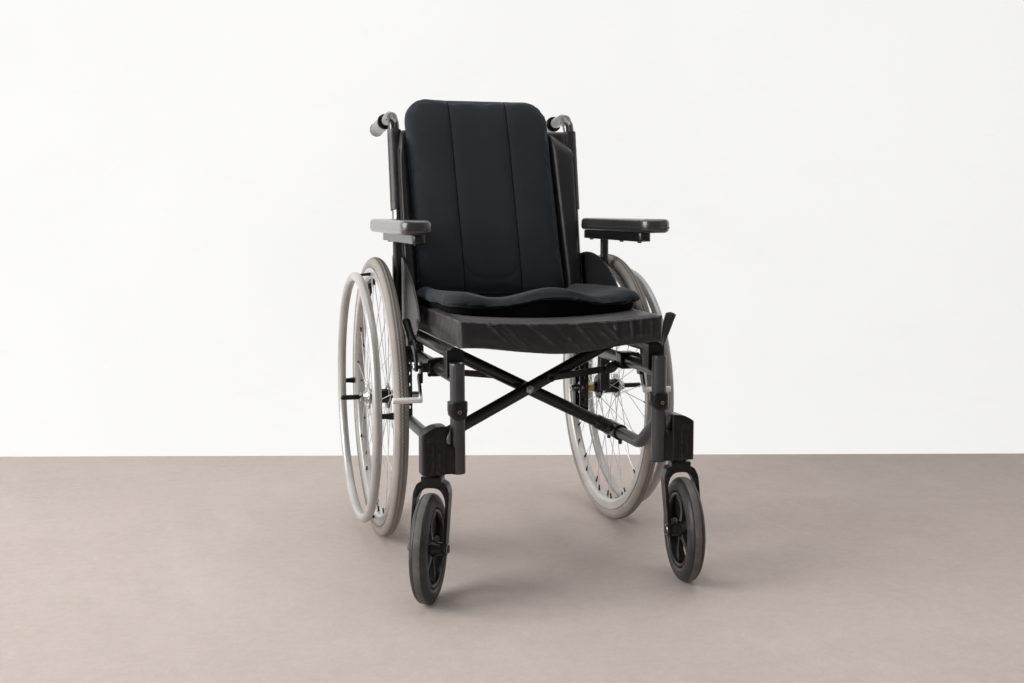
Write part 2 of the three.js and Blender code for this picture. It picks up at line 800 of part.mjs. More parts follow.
function releasePlunger() {
  const buttonStart = axleEndOut + plungerTravel + fit;
  const buttonEnd = buttonStart + plungerButtonLength;
  return turnedX([
    [threadEndOut + plungerTravel, 0],
    [threadEndOut + plungerTravel, plungerRadius],
    [buttonStart, plungerRadius],
    [buttonStart, plungerButtonRadius],
    [buttonEnd - plungerButtonRound, plungerButtonRadius],
    [buttonEnd, plungerButtonRadius - plungerButtonRound],
    [buttonEnd, 0],
  ], pinFacets, 0, axleHeight);
}

// Rear wheel pieces, all turned about the axle
function rearTyre() {
  const half = tyreThickness / 2;
  const open = Math.acos(-(half - tyreBedFlat - fit) / half);
  const profile = [];
  for (let i = 0; i <= tyreSectionSteps; i += 1) {
    const angle = open * (2 * i / tyreSectionSteps - 1);
    profile.push([wheelOut + half * Math.sin(angle), tyreCentreRadius + half * Math.cos(angle)]);
  }
  profile.push(profile[0]);
  return turnedX(profile, wheelFacets, 0, axleHeight);
}

function rearRim() {
  const profile = [
    [rimHalfWidth, rimTopRadius], [rimFlangeInner, rimTopRadius], [rimFlangeInner, rimBedRadius],
    [-rimFlangeInner, rimBedRadius], [-rimFlangeInner, rimTopRadius], [-rimHalfWidth, rimTopRadius],
    [-rimHalfWidth, rimShoulderRadius], [-rimInnerHalfWidth, rimInnerRadius],
    [rimInnerHalfWidth, rimInnerRadius], [rimHalfWidth, rimShoulderRadius], [rimHalfWidth, rimTopRadius],
  ].map(([across, radius]) => [wheelOut + across, radius]);
  return turnedX(profile, wheelFacets, 0, axleHeight);
}

function handrim() {
  const ring = new THREE.TorusGeometry(handrimRadius, handrimTubeRadius, hoopFacets, wheelFacets);
  const hoop = closed(ring.rotateY(Math.PI / 2).translate(handrimOut, 0, axleHeight));
  const tabs = [];
  for (let i = 0; i < handrimTabs; i += 1) {
    const foot = wheelOut + rimHalfWidth + fit;
    const low = rimShoulderRadius + fit;
    const tab = block(foot, handrimOut, -handrimTabWidth / 2, handrimTabWidth / 2, low - handrimTabThickness / 2,
      low + handrimTabThickness / 2);
    tab.rotateX(2 * Math.PI * i / handrimTabs);
    tabs.push(tab.translate(0, 0, axleHeight));
  }
  return joined(hoop, ...tabs);
}

// Hub with its laced spokes; every second pair leans the other way,
// and one spoke ends inside each corner of the rim's ring
function rearHub() {
  const inner = sleeveEndOut + fit;
  const flanges = [wheelOut - hubFlangeSpread, wheelOut + hubFlangeSpread];
  const half = hubFlangeThickness / 2;
  const bore = boreRadius(axleRadius, pinFacets);
  const hub = turnedX([
    [inner, bore], [inner, hubEndRadius],
    [flanges[0] - 2 * half, hubShellRadius], [flanges[0] - half, hubFlangeRadius],
    [flanges[0] + half, hubFlangeRadius], [flanges[0] + 2 * half, hubShellRadius],
    [flanges[1] - 2 * half, hubShellRadius], [flanges[1] - half, hubFlangeRadius],
    [flanges[1] + half, hubFlangeRadius], [flanges[1] + 2 * half, hubShellRadius],
    [hubEndOut, hubEndRadius], [hubEndOut, bore], [inner, bore],
  ], pinFacets, 0, axleHeight);
  const rimEnd = rimInnerRadius - spokeEndGap;
  const spokes = [];
  for (let i = 0; i < spokeCount; i += 1) {
    const rimAngle = 2 * Math.PI * i / spokeCount;
    const way = Math.floor(i / 2) % 2 === 0 ? 1 : -1;
    const hubAngle = rimAngle + way * spokeLeanDegrees * radians;
    const sideOfHub = i % 2;
    const rimX = wheelOut + (sideOfHub === 0 ? -1 : 1) * spokeRimSpread + way * spokeStagger;
    const hubX = flanges[sideOfHub] + way * spokeStagger;
    const start = at(hubX, spokeHoleRadius * Math.cos(hubAngle), spokeHoleRadius * Math.sin(hubAngle));
    const end = at(rimX, rimEnd * Math.cos(rimAngle), rimEnd * Math.sin(rimAngle));
    spokes.push(rod(start, end, spokeRadius, spokeFacets).translate(0, 0, axleHeight));
  }
  return joined(hub, ...spokes);
}

// Caster pieces, modelled round the stem's axis with the wheel trailing towards -Y
function casterFork() {
  const legIn = casterTyreWidth / 2 + forkLegGap;
  const legOut = legIn + forkLegThickness;
  const tip = casterRadius - forkBossRadius - forkTipDrop;
  const blockBottom = crownTop - forkBlockHeight;
  const shoulderIn = forkCrownHalfWidth + forkShoulderReach;
  const shoulderTop = blockBottom - forkShoulderFall;
  const shoulder = crownTop - forkShoulderDrop;
  const arch = crownBottom - forkArchHeight;
  const front = slabY(outline([
    [-legOut, tip, forkLegThickness / 2], [-legIn, tip, 0],
    [-legIn, arch, forkArchRadius], [-forkArchTopHalfWidth, crownBottom, forkArchRadius],
    [forkArchTopHalfWidth, crownBottom, forkArchRadius], [legIn, arch, forkArchRadius],
    [legIn, tip, 0], [legOut, tip, forkLegThickness / 2],
    [legOut, shoulder, forkShoulderRadius], [shoulderIn, shoulderTop, forkShoulderTopRadius],
    [forkCrownHalfWidth, blockBottom, forkShoulderFall / 2],
    [forkCrownHalfWidth, crownTop, fit], [-forkCrownHalfWidth, crownTop, fit],
    [-forkCrownHalfWidth, blockBottom, forkShoulderFall / 2],
    [-shoulderIn, shoulderTop, forkShoulderTopRadius], [-legOut, shoulder, forkShoulderRadius],
  ]), -casterTrail - 2 * forkBossRadius, 2 * forkCrownHalfDepth);
  const profile = new THREE.Shape();
  profile.moveTo(forkCrownHalfDepth, crownTop + overrun);
  profile.lineTo(forkCrownHalfDepth, crownBottom);
  profile.lineTo(forkBossRadius - casterTrail, casterRadius);
  profile.absarc(-casterTrail, casterRadius, forkBossRadius, 0, -Math.PI, true);
  profile.lineTo(-forkCrownHalfDepth, crownBottom);
  profile.lineTo(-forkCrownHalfDepth, crownTop + overrun);
  profile.closePath();
  const side = slabX(profile, -legOut - overrun, legOut + overrun);
  const bolt = rodX(-legOut - forkBoltHeadThickness / 2, legOut + forkBoltHeadThickness / 2, -casterTrail,
    casterRadius, forkBoltRadius);
  const heads = [-1, 1].map((way) => rodX(way * (legOut - fit), way * (legOut + forkBoltHeadThickness), -casterTrail,
    casterRadius, forkBoltHeadRadius, hexFacets));
  const neck = rodZ(crownTop - fit, housingBottom - fit, 0, 0, neckRadius, tubeFacets);
  const stem = rodZ(crownBottom + overrun, housingBottom + stemLength, 0, 0, stemRadius);
  return joined(common(front, side), bolt, ...heads, neck, stem);
}

function casterTyre() {
  const half = casterTyreWidth / 2;
  const inner = casterRadius - casterTyreDepth;
  const flank = [[half * casterTyreFootShare, inner], [half, inner + casterRimBead]];
  for (const [across, depth] of casterTyreCrownShares) flank.push([half * across, casterRadius - half * depth]);
  const mirror = flank.map(([across, radius]) => [-across, radius]);
  const profile = [...mirror, [0, casterRadius], ...flank.reverse(), mirror[0]];
  return turnedX(profile, casterFacets, -casterTrail, casterRadius);
}

function casterRim() {
  const bed = (casterRadius - casterTyreDepth - fit) * Math.cos(Math.PI / casterFacets);
  const half = casterRimWidth / 2;
  const ring = turnedX([
    [-half, bed], [-half, bed - casterRimWall], [half, bed - casterRimWall], [half, bed], [-half, bed],
  ], casterFacets);
  const hub = rodX(-casterHubHalfLength, casterHubHalfLength, 0, 0, casterHubRadius, tubeFacets);
  const spokes = [];
  for (let i = 0; i < casterSpokeCount; i += 1) {
    const reach = bed - casterRimWall / 2;
    const spoke = slabX(outline([
      [-casterSpokeWidth, 0], [casterSpokeWidth, 0], [casterSpokeWidth / 2, reach], [-casterSpokeWidth / 2, reach],
    ]), -casterSpokeThickness / 2, casterSpokeThickness / 2);
    spokes.push(spoke.rotateX(2 * Math.PI * i / casterSpokeCount));
  }
  const bore = rodX(-casterHubHalfLength - overrun, casterHubHalfLength + overrun, 0, 0,
    boreRadius(forkBoltRadius, pinFacets));
  return cut(joined(ring, hub, ...spokes), bore).translate(0, -casterTrail, casterRadius);
}

// One half of the crossed brace: sleeve on the lower tube, oval tube, and the seat rail
function braceMatrix(y) {
  const way = at(-Math.cos(braceAngle), 0, Math.sin(braceAngle));
  const depth = at(0, 1, 0);
  const height = new THREE.Vector3().crossVectors(depth, way);
  const basis = new THREE.Matrix4().makeBasis(height, depth, way);
  return basis.setPosition(0, y, braceCentreHeight);
}

function ovalTube(halfHeight, halfDepth, from, to) {
  const oval = new THREE.Shape();
  for (let i = 0; i < tubeFacets; i += 1) {
    const angle = 2 * Math.PI * i / tubeFacets;
    const point = [halfHeight * Math.cos(angle), halfDepth * Math.sin(angle)];
    if (i === 0) oval.moveTo(...point);
    else oval.lineTo(...point);
  }
  oval.closePath();
  return slabZ(oval, from, to);
}

function crossBrace(y) {
  const place = braceMatrix(y);
  const tube = ovalTube(braceHalfHeight, braceHalfDepth, -braceHalfLength, braceHalfLength - braceWeldSetback);
  const foot = ovalTube(braceHalfHeight + braceFootExtra, braceHalfDepth + braceFootExtra / 2,
    -braceHalfLength, -braceHalfLength + braceFootLength);
  const half = braceSleeveLength / 2;
  const wall = sideTubeRadius + braceSleeveWall;
  const sleeve = rodY(y - half, y + half, frameHalfWidth, lowerTubeHeight, wall, tubeFacets);
  const rail = rodY(-railFrontForward, -railBackForward, -frameHalfWidth, railHeight, sideTubeRadius, tubeFacets);
  const bore = rodY(y - half - overrun, y + half + overrun, frameHalfWidth, lowerTubeHeight,
    boreRadius(sideTubeRadius, tubeFacets), tubeFacets);
  const eye = rodY(y - 2 * braceHalfDepth, y + 2 * braceHalfDepth, 0, braceCentreHeight,
    boreRadius(pivotRadius, pinFacets));
  return cut(joined(tube.applyMatrix4(place), foot.applyMatrix4(place), sleeve, rail), bore, eye);
}

function pivotBolt() {
  const reach = braceSpread + braceHalfDepth + fit;
  const far = reach + pivotHeadThickness;
  const spacer = braceSpread - braceHalfDepth - fit;
  const parts = [
    rodY(-far, far, 0, 0, pivotRadius),
    rodY(-far, -reach, 0, 0, pivotHeadRadius, hexFacets),
    rodY(reach, far, 0, 0, pivotHeadRadius, hexFacets),
    rodY(-spacer, spacer, 0, 0, pivotSpacerRadius, tubeFacets),
  ];
  return joined(...parts).translate(0, -braceForward, braceCentreHeight);
}

// A flat link from the lug on the frame to the brace's face
function foldLink(nearFace, way) {
  const pinX = linkAlongBrace * Math.cos(braceAngle);
  const pinZ = braceCentreHeight + linkAlongBrace * Math.sin(braceAngle);
  const length = Math.hypot(linkPivotOut - pinX, linkPivotHeight - pinZ);
  const waist = linkEyeRadius * linkWaistShare;
  const near = Math.min(nearFace, nearFace + way * linkThickness);
  const bar = slabY(outline([[0, -waist], [length, -waist], [length, waist], [0, waist]]), near, near + linkThickness);
  const eyes = [0, length].map((x) => rodY(near, near + linkThickness, x, 0, linkEyeRadius, tubeFacets));
  const pins = [0, length].map((x) => rodY(near - overrun, near + linkThickness + overrun, x, 0,
    boreRadius(pivotRadius, pinFacets)));
  const link = cut(joined(bar, ...eyes), ...pins);
  const angle = Math.atan2(pinZ - linkPivotHeight, linkPivotOut - pinX);
  return link.rotateY(Math.PI + angle).translate(linkPivotOut, 0, linkPivotHeight);
}

// Skirt guard: a thin plate whose edge follows the wheel
function skirtGuard() {
  const radius = wheelRadius + guardArcGap;
  const endAngle = Math.acos(guardBackBehind / radius);
  const startAngle = Math.acos(-guardFrontForward / radius);
  const points = [];
  for (let i = 0; i <= guardArcSteps; i += 1) {
    const angle = startAngle + (endAngle - startAngle) * i / guardArcSteps;
    points.push([radius * Math.cos(angle), axleHeight + radius * Math.sin(angle)]);
  }
  points.push([guardBackBehind, guardBottom, guardCorner]);
  points.push([-guardFrontBottomForward, guardBottom, guardCorner]);
  return slabX(outline(points), guardInner, guardInner + guardThickness);
}

// Armrest receiver: a tube for the armrest's post, clamped on the upper side tube,
// with a cup on top of the clamp in which the seat rail rests
function armrestReceiver() {
  const y = -armPostForward;
  const tube = slabZ(outline([
    [receiverOut - receiverHalfWidth, y - receiverHalfDepth, receiverCorner],
    [receiverOut + receiverHalfWidth, y - receiverHalfDepth, receiverCorner],
    [receiverOut + receiverHalfWidth, y + receiverHalfDepth, receiverCorner],
    [receiverOut - receiverHalfWidth, y + receiverHalfDepth, receiverCorner],
  ]), receiverBottom, receiverTop);
  const wall = sideTubeRadius + receiverClampWall;
  const clamp = block(frameHalfWidth - wall, receiverOut - receiverHalfWidth / 2, y - receiverClampHalfLength,
    y + receiverClampHalfLength, upperTubeHeight - wall, upperTubeHeight + wall);
  const cupWall = sideTubeRadius + receiverSaddleWall;
  const cup = block(frameHalfWidth - cupWall, frameHalfWidth + cupWall, y - receiverClampHalfLength,
    y + receiverClampHalfLength, upperTubeHeight, railHeight - sideTubeRadius + receiverSaddleHeight);
  const radius = boreRadius(sideTubeRadius, tubeFacets);
  const front = y - receiverClampHalfLength - overrun;
  const back = y + receiverClampHalfLength + overrun;
  const tubeRoom = rodY(front, back, frameHalfWidth, upperTubeHeight, radius, tubeFacets);
  const railRoom = rodY(front, back, frameHalfWidth, railHeight, radius, tubeFacets);
  const mouth = block(frameHalfWidth - radius, frameHalfWidth + radius, front, back, railHeight,
    railHeight + sideTubeRadius + receiverSaddleHeight);
  const postRoom = rodZ(receiverBottom - overrun, receiverTop + overrun, receiverOut, y,
    boreRadius(armPostRadius, tubeFacets), tubeFacets);
  return cut(joined(tube, clamp, cup), tubeRoom, railRoom, mouth, postRoom);
}

function armrestFrame() {
  const post = rodZ(armPostFoot, armBarBottom + armBarThickness / 2, receiverOut, -armPostForward, armPostRadius,
    tubeFacets);
  const bar = slabZ(outline([
    [receiverOut - armBarHalfWidth, -armBarFront, armBarCorner],
    [receiverOut + armBarHalfWidth, -armBarFront, armBarCorner],
    [receiverOut + armBarHalfWidth, armBarBack, armBarCorner],
    [receiverOut - armBarHalfWidth, armBarBack, armBarCorner],
  ]), armBarBottom, armBarBottom + armBarThickness);
  const side = slabX(outline([
    [-armBarFront - overrun, armBarBottom + armBarThickness + overrun],
    [-armBarFront - overrun, armBarBottom, armBarCorner],
    [armBarBack + overrun, armBarBottom, armBarCorner],
    [armBarBack + overrun, armBarBottom + armBarThickness + overrun],
  ]), receiverOut - armBarHalfWidth - overrun, receiverOut + armBarHalfWidth + overrun);
  return joined(post, common(bar, side));
}

function armrestPad() {
  const shape = outline([
    [armPadInner + armPadRound, -armPadFront + armPadRound, armPadCorner],
    [armPadOuter - armPadRound, -armPadFront + armPadRound, armPadCorner],
    [armPadOuter - armPadRound, armPadBack - armPadRound, armPadCorner],
    [armPadInner + armPadRound, armPadBack - armPadRound, armPadCorner],
  ]);
  const pad = new THREE.ExtrudeGeometry(shape, {
    depth: armPadThickness - 2 * armPadRound, curveSegments: bendSteps,
    bevelEnabled: true, bevelThickness: armPadRound, bevelSize: armPadRound, bevelSegments: armPadRoundSteps,
  });
  return pad.translate(0, 0, armPadBottom + armPadRound);
}

// Wheel lock: bracket with two pins, shoe arm and lever
function lockBracket() {
  const y = -lockClampForward;
  const wall = sideTubeRadius + lockClampWall;
  const clamp = slabY(outline([
    [frameHalfWidth - wall, upperTubeHeight - wall, lockClampWall],
    [frameHalfWidth + wall, upperTubeHeight - wall, lockClampWall],
    [frameHalfWidth + wall, upperTubeHeight + wall, lockClampWall],
    [frameHalfWidth - wall, upperTubeHeight + wall, lockClampWall],
  ]), y - lockClampHalfLength, y + lockClampHalfLength);
  const inner = lockPlateOut - lockPlateThickness;
  const arm = block(frameHalfWidth + sideTubeRadius + fit, inner + overrun / 2, y - lockClampHalfLength / 2,
    y + lockClampHalfLength / 2, upperTubeHeight - lockArmHeight / 2, upperTubeHeight + lockArmHeight / 2);
  const plate = slabX(outline([
    [-shoePivotForward - lockPlateBorder, shoePivotHeight - lockPlateBorder, lockPlateCorner],
    [-leverPivotForward + lockPlateBorder, shoePivotHeight - lockPlateBorder, lockPlateCorner],
    [-leverPivotForward + lockPlateBorder, leverPivotHeight + lockPlateBorder, lockPlateCorner],
    [-shoePivotForward - lockPlateBorder, leverPivotHeight + lockPlateBorder, lockPlateCorner],
  ]), inner, lockPlateOut);
  const shoeArmOut = lockPlateOut + fit + lockArmThickness;
  const leverOut = shoeArmOut + fit + leverThickness;
  const pins = [
    rodX(inner, shoeArmOut, -shoePivotForward, shoePivotHeight, lockPinRadius),
    rodX(inner, leverOut + fit, -leverPivotForward, leverPivotHeight, lockPinRadius),
  ];
  const tubeRoom = rodY(y - lockClampHalfLength - overrun, y + lockClampHalfLength + overrun, frameHalfWidth,
    upperTubeHeight, boreRadius(sideTubeRadius, tubeFacets), tubeFacets);
  return cut(joined(clamp, arm, plate, ...pins), tubeRoom);
}

function shoePlace() {
  const reach = wheelRadius + shoeGap + shoeRadius;
  const angle = shoeRiseDegrees * radians;
  return [-reach * Math.cos(angle), axleHeight + reach * Math.sin(angle)];
}

// A flat bar between two round ends, standing in the YZ plane
function armBetween(from, to, radiusFrom, radiusTo, x0, x1) {
  const way = new THREE.Vector2(to[0] - from[0], to[1] - from[1]).normalize();
  const across = [-way.y, way.x];
  const bar = slabX(outline([
    [from[0] + across[0] * radiusFrom, from[1] + across[1] * radiusFrom],
    [from[0] - across[0] * radiusFrom, from[1] - across[1] * radiusFrom],
    [to[0] - across[0] * radiusTo, to[1] - across[1] * radiusTo],
    [to[0] + across[0] * radiusTo, to[1] + across[1] * radiusTo],
  ]), x0, x1);
  return joined(bar, rodX(x0, x1, ...from, radiusFrom), rodX(x0, x1, ...to, radiusTo));
}

function brakeShoe() {
  const inner = lockPlateOut + fit;
  const outer = inner + lockArmThickness;
  const pivot = [-shoePivotForward, shoePivotHeight];
  const arm = armBetween(pivot, shoePlace(), lockArmBoss, shoeRadius, inner, outer);
  const shoe = rodX(inner, shoeOuterOut, ...shoePlace(), shoeRadius);
  const bore = rodX(inner - overrun, outer + overrun, ...pivot, boreRadius(lockPinRadius, pinFacets));
  return cut(joined(arm, shoe), bore);
}

function brakeLever() {
  const inner = lockPlateOut + fit + lockArmThickness + fit;
  const outer = inner + leverThickness;
  const pivot = [-leverPivotForward, leverPivotHeight];
  const way = [Math.cos(leverAngleDegrees * radians), Math.sin(leverAngleDegrees * radians)];
  const bend = [pivot[0] + leverBendBehind, pivot[1] + leverBendRise];
  const along = (distance) => [bend[0] + way[0] * distance, bend[1] + way[1] * distance];
  const gripStart = leverLength - leverGripLength;
  const foot = armBetween(pivot, bend, leverBoss, leverGripRadius - leverGripRound, inner, outer);
  const neck = armBetween(bend, along(gripStart), leverGripRadius - leverGripRound, leverGripRadius, inner, outer);
  const middle = (inner + outer) / 2;
  const points = [
    [0, 0], [leverGripRadius - leverGripRound, 0], [leverGripRadius, leverGripRound],
    [leverGripRadius * leverGripWaistShare, leverGripLength / 2], [leverGripRadius, leverGripLength - leverGripRound],
    [leverGripRadius - leverGripRound, leverGripLength], [0, leverGripLength],
  ].map(([radius, length]) => new THREE.Vector2(radius, length));
  const grip = new THREE.LatheGeometry(points, pinFacets).rotateX(leverAngleDegrees * radians);
  grip.translate(middle, ...along(gripStart));
  const bore = rodX(inner - overrun, outer + overrun, ...pivot, boreRadius(lockPinRadius, pinFacets));
  return cut(joined(foot, neck, grip), bore);
}

// Soft pieces start as a divided unit box whose corners are moved to their place
function softForm(columns, rows, layers, place) {
  const form = new THREE.BoxGeometry(2, 2, 2, columns, rows, layers);
  const corner = form.getAttribute('position');
  for (let i = 0; i < corner.count; i += 1) {
    corner.setXYZ(i, ...place(corner.getX(i), corner.getY(i), corner.getZ(i)));
  }
  return closed(form);
}

// Where the seat sling's underside hangs between the two rails
function slingUnderside(x) {
  const share = Math.min(Math.abs(x) / frameHalfWidth, 1);
  return railHeight + sideTubeRadius + slingHeightOnRail - slingSag * (1 - share * share);
}

// Draws the corners of a square plan in, as a round corner of the given radius does
function roundedPlan(u, v, halfWidth, halfLength, radius) {
  const pull = radius * (1 - Math.SQRT1_2) * (u * v) ** planCornerPower;
  return [u * halfWidth - Math.sign(u) * pull, v * halfLength - Math.sign(v) * pull];
}

function seatSling() {
  const middle = -(slingFront + slingBack) / 2;
  return softForm(...slingGrid, (u, v, w) => {
    const x = u * frameHalfWidth;
    const bottom = slingUnderside(x);
    return [x, middle + v * (slingFront - slingBack) / 2, bottom + (w + 1) / 2 * slingThickness];
  });
}

function cushionTopAt(x) {
  const across = Math.min(Math.abs(x) / cushionHalfWidth, 1);
  const sag = cushionTopSag * (1 - across ** 2);
  const crown = railHeight + sideTubeRadius + slingHeightOnRail + slingThickness + softFit + cushionThickness;
  return crown - sag;
}

function seatCushion() {
  const middle = -(cushionFront + cushionBack) / 2;
  const halfLength = (cushionFront - cushionBack) / 2;
  return softForm(...cushionGrid, (u, v, w) => {
    const [planX, planY] = roundedPlan(u, v, cushionHalfWidth, halfLength, cushionCorner);
    const bulge = cushionSideBulge * (1 - w * w);
    const edge = cushionEdge * Math.max(Math.abs(u), Math.abs(v)) ** edgePower;
    const x = planX - Math.sign(u) * Math.abs(u) ** edgePower * (cushionSideBulge - bulge);
    const y = middle + planY - Math.sign(v) * Math.abs(v) ** edgePower * (cushionSideBulge - bulge);
    const bottom = slingUnderside(x) + slingThickness + softFit + edge / 2;
    const top = cushionTopAt(x) - edge / 2;
    return [x, y, bottom + (w + 1) / 2 * (top - bottom)];
  });
}

// The pad's crown: high sides, a pommel between two thigh troughs, and a shallower back
function padCrown(u, v) {
  const x = u * padHalfWidth;
  const wave = (1 + Math.cos(Math.PI * x / padTroughHalfSpacing)) / 2;
  const outside = Math.abs(x) > padTroughHalfSpacing;
  const peak = outside ? padSideCrown : padPommelCrown;
  const front = padTroughCrown + (peak - padTroughCrown) * wave;
  const toBack = (1 + v) / 2;
  const blended = front + (padBackCrown - front) * toBack ** 2;
  const edge = Math.max(Math.abs(u), Math.abs(v)) ** padEdgePower;
  return blended * (1 - padRimDropShare * edge);
}

function seatPad() {
  const middle = -(padFront + padBack) / 2;
  const halfLength = (padFront - padBack) / 2;
  return softForm(...padGrid, (u, v, w) => {
    const [x, planY] = roundedPlan(u, v, padHalfWidth, halfLength, padCorner);
    const scallop = padFrontScallop * (1 - v) / 2 * (1 - Math.cos(Math.PI * x / padTroughHalfSpacing)) / 2;
    const y = middle + planY + scallop * (1 - v) / 2;
    const reach = Math.min(Math.abs(x), cushionHalfWidth);
    const bottom = cushionTopAt(reach) + softFit;
    const top = bottom + padBandHeight + padCrown(u, v);
    return [x, y, bottom + (w + 1) / 2 * (top - bottom)];
  });
}

// Places a form given as (x, forwards from the posts, along the posts) on the reclined back
function onBack(geometry) {
  return geometry.rotateX(-recline).translate(0, postBehindAxle, postBendHeight);
}

const alongPost = (height) => (height - postBendHeight) / Math.cos(recline);

function backSling() {
  const panel = block(-backSlingHalfWidth, backSlingHalfWidth, -backSlingFront,
    backSlingThickness - backSlingFront, alongPost(backSlingBottom), alongPost(backSlingTop));
  const cloth = sideTubeRadius + softFit + sleeveClothThickness;
  const low = alongPost(sleeveBottomHeight);
  const high = alongPost(backSlingTop);
  const sleeves = [-1, 1].map((way) => rodZ(low, high, way * postHalfWidth, 0, cloth, tubeFacets));
  const room = boreRadius(sideTubeRadius + softFit, tubeFacets);
  const posts = [-1, 1].map((way) => rodZ(-overrun, high + overrun, way * postHalfWidth, 0, room, tubeFacets));
  return onBack(cut(joined(panel, ...sleeves), ...posts));
}

function backCushion() {
  const low = alongPost(backCushionBottom);
  const high = alongPost(backCushionTop);
  const halfLength = (high - low) / 2;
  const rear = -backSlingFront - softFit;
  const form = softForm(...backCushionGrid, (u, v, w) => {
    const halfWidth = backCushionHalfWidth - w * backCushionTaper;
    const [x, along] = roundedPlan(u, w, halfWidth, halfLength, backCushionCorner);
    const edge = Math.max(Math.abs(u), Math.abs(w)) ** backCushionEdgePower;
    const seam = [-1, 1].reduce((sum, side) => {
      const away = (x - side * backCushionSeamHalfSpacing) / backCushionSeamWidth;
      return sum + backCushionSeamDepth * Math.exp(-away * away);
    }, 0);
    const thickness = backCushionThickness * (1 - backCushionEdgeShare * edge) - seam * (1 - edge);
    return [x, rear - (1 - v) / 2 * thickness, along];
  });
  form.rotateY(backCushionTiltDegrees * radians);
  return onBack(form.translate(-backCushionShift, 0, low + halfLength));
}

// Finishes: colour, roughness, metalness
const finishes = {
  greyTube: [0x46484c, 0.42, 0.5],
  blackTube: [0x151517, 0.35, 0.4],
  blackPlastic: [0x161617, 0.5, 0],
  greyPlastic: [0x2a2a2c, 0.55, 0],
  steel: [0xb9bbbd, 0.3, 1],
  brass: [0xb79a5f, 0.35, 1],
  rim: [0xd6d3ce, 0.35, 0.7],
  tyre: [0x8f8880, 0.8, 0],
  casterTyre: [0x46484b, 0.75, 0],
  shoe: [0xc9c6c1, 0.4, 0.3],
  guard: [0x2b2b2d, 0.5, 0],
  stretchCloth: [0x1e2629, 0.9, 0],
  nylon: [0x231f24, 0.7, 0],
  padVinyl: [0x3a3a3c, 0.45, 0],
};

const chair = new THREE.Group();
chair.position.y = axleBehindMiddle;

function piece(name, geometry, finish, parent = chair) {
  const [color, roughness, metalness] = finishes[finish];
  const mesh = new THREE.Mesh(geometry, new THREE.MeshStandardMaterial({ color, roughness, metalness }));
  mesh.name = name;
  parent.add(mesh);
  return mesh;
}

// The link on each side lies on the outer face of the brace half that it steadies
const linkFaces = {
  right: { face: -braceForward + braceSpread + braceHalfDepth + fit, way: 1 },
  left: { face: -braceForward - braceSpread - braceHalfDepth - fit, way: -1 },
};

const sides = [
  { name: 'right', sign: -1, swivel: casterSwivelRightDegrees },
  { name: 'left', sign: 1, swivel: casterSwivelLeftDegrees },
];

for (const { name, sign, swivel } of sides) {
  const link = linkFaces[name];
  const onSide = (geometry) => (sign < 0 ? mirrored(geometry) : closed(geometry));
  const add = (piecename, geometry, finish) => piece(`${piecename}_${name}`, onSide(geometry), finish);

  add('front_tube', frontTube(), 'greyTube');
  add('lower_side_tube', lowerSideTube(), 'greyTube');
  add('upper_side_tube', upperSideTube(link.face, link.way), 'greyTube');
  add('back_post', backPost(), 'steel');
  add('push_grip', pushGrip(), 'greyPlastic');
  add('footrest_collar', footrestCollar(), 'blackPlastic');
  add('caster_housing', casterHousing(), 'blackPlastic');
  add('rail_saddle', railSaddle(), 'blackPlastic');
  add('axle_plate', axlePlate(), 'blackTube');
  add('rear_axle', rearAxle(), 'brass');
  add('release_plunger', releasePlunger(), 'blackPlastic');
  add('skirt_guard', skirtGuard(), 'guard');
  add('armrest_receiver', armrestReceiver(), 'blackTube');
  add('armrest_frame', armrestFrame(), 'blackTube');
  add('armrest_pad', armrestPad(), 'padVinyl');
  add('lock_bracket', lockBracket(), 'blackPlastic');
  add('lock_shoe', brakeShoe(), 'shoe');
  add('lock_lever', brakeLever(), 'blackPlastic');
  add('rear_tyre', rearTyre(), 'tyre');
  add('rear_rim', rearRim(), 'rim');
  add('rear_hub', rearHub(), 'steel');
  add('handrim', handrim(), 'rim');
  add('fold_link', foldLink(link.face, link.way), 'blackTube');

  const casterGroup = new THREE.Group();
  casterGroup.position.set(sign * casterOut, -casterForward, 0);
  casterGroup.rotation.z = -swivel * radians;
  chair.add(casterGroup);
  piece(`caster_fork_${name}`, casterFork(), 'blackPlastic', casterGroup);
  piece(`caster_tyre_${name}`, casterTyre(), 'casterTyre', casterGroup);
  piece(`caster_rim_${name}`, casterRim(), 'blackPlastic', casterGroup);
}

piece('cross_brace_front', mirrored(crossBrace(-braceForward - braceSpread)), 'blackTube');
piece('cross_brace_rear', crossBrace(-braceForward + braceSpread), 'blackTube');
piece('pivot_bolt', pivotBolt(), 'steel');
piece('seat_sling', seatSling(), 'nylon');
piece('seat_cushion', seatCushion(), 'nylon');
piece('seat_pad', seatPad(), 'stretchCloth');
piece('back_sling', closed(backSling()), 'nylon');
piece('back_cushion', backCushion(), 'stretchCloth');

export default chair;
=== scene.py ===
"""Looks of the folding wheelchair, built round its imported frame. Metres, +Z up, the chair faces -Y."""
import json
from contextlib import contextmanager
from math import acos, asin, atan, copysign, cos, exp, hypot, pi, radians, sin, tan

import bmesh
import bpy
from mathutils import Matrix, Vector, noise
from mathutils.bvhtree import BVHTree


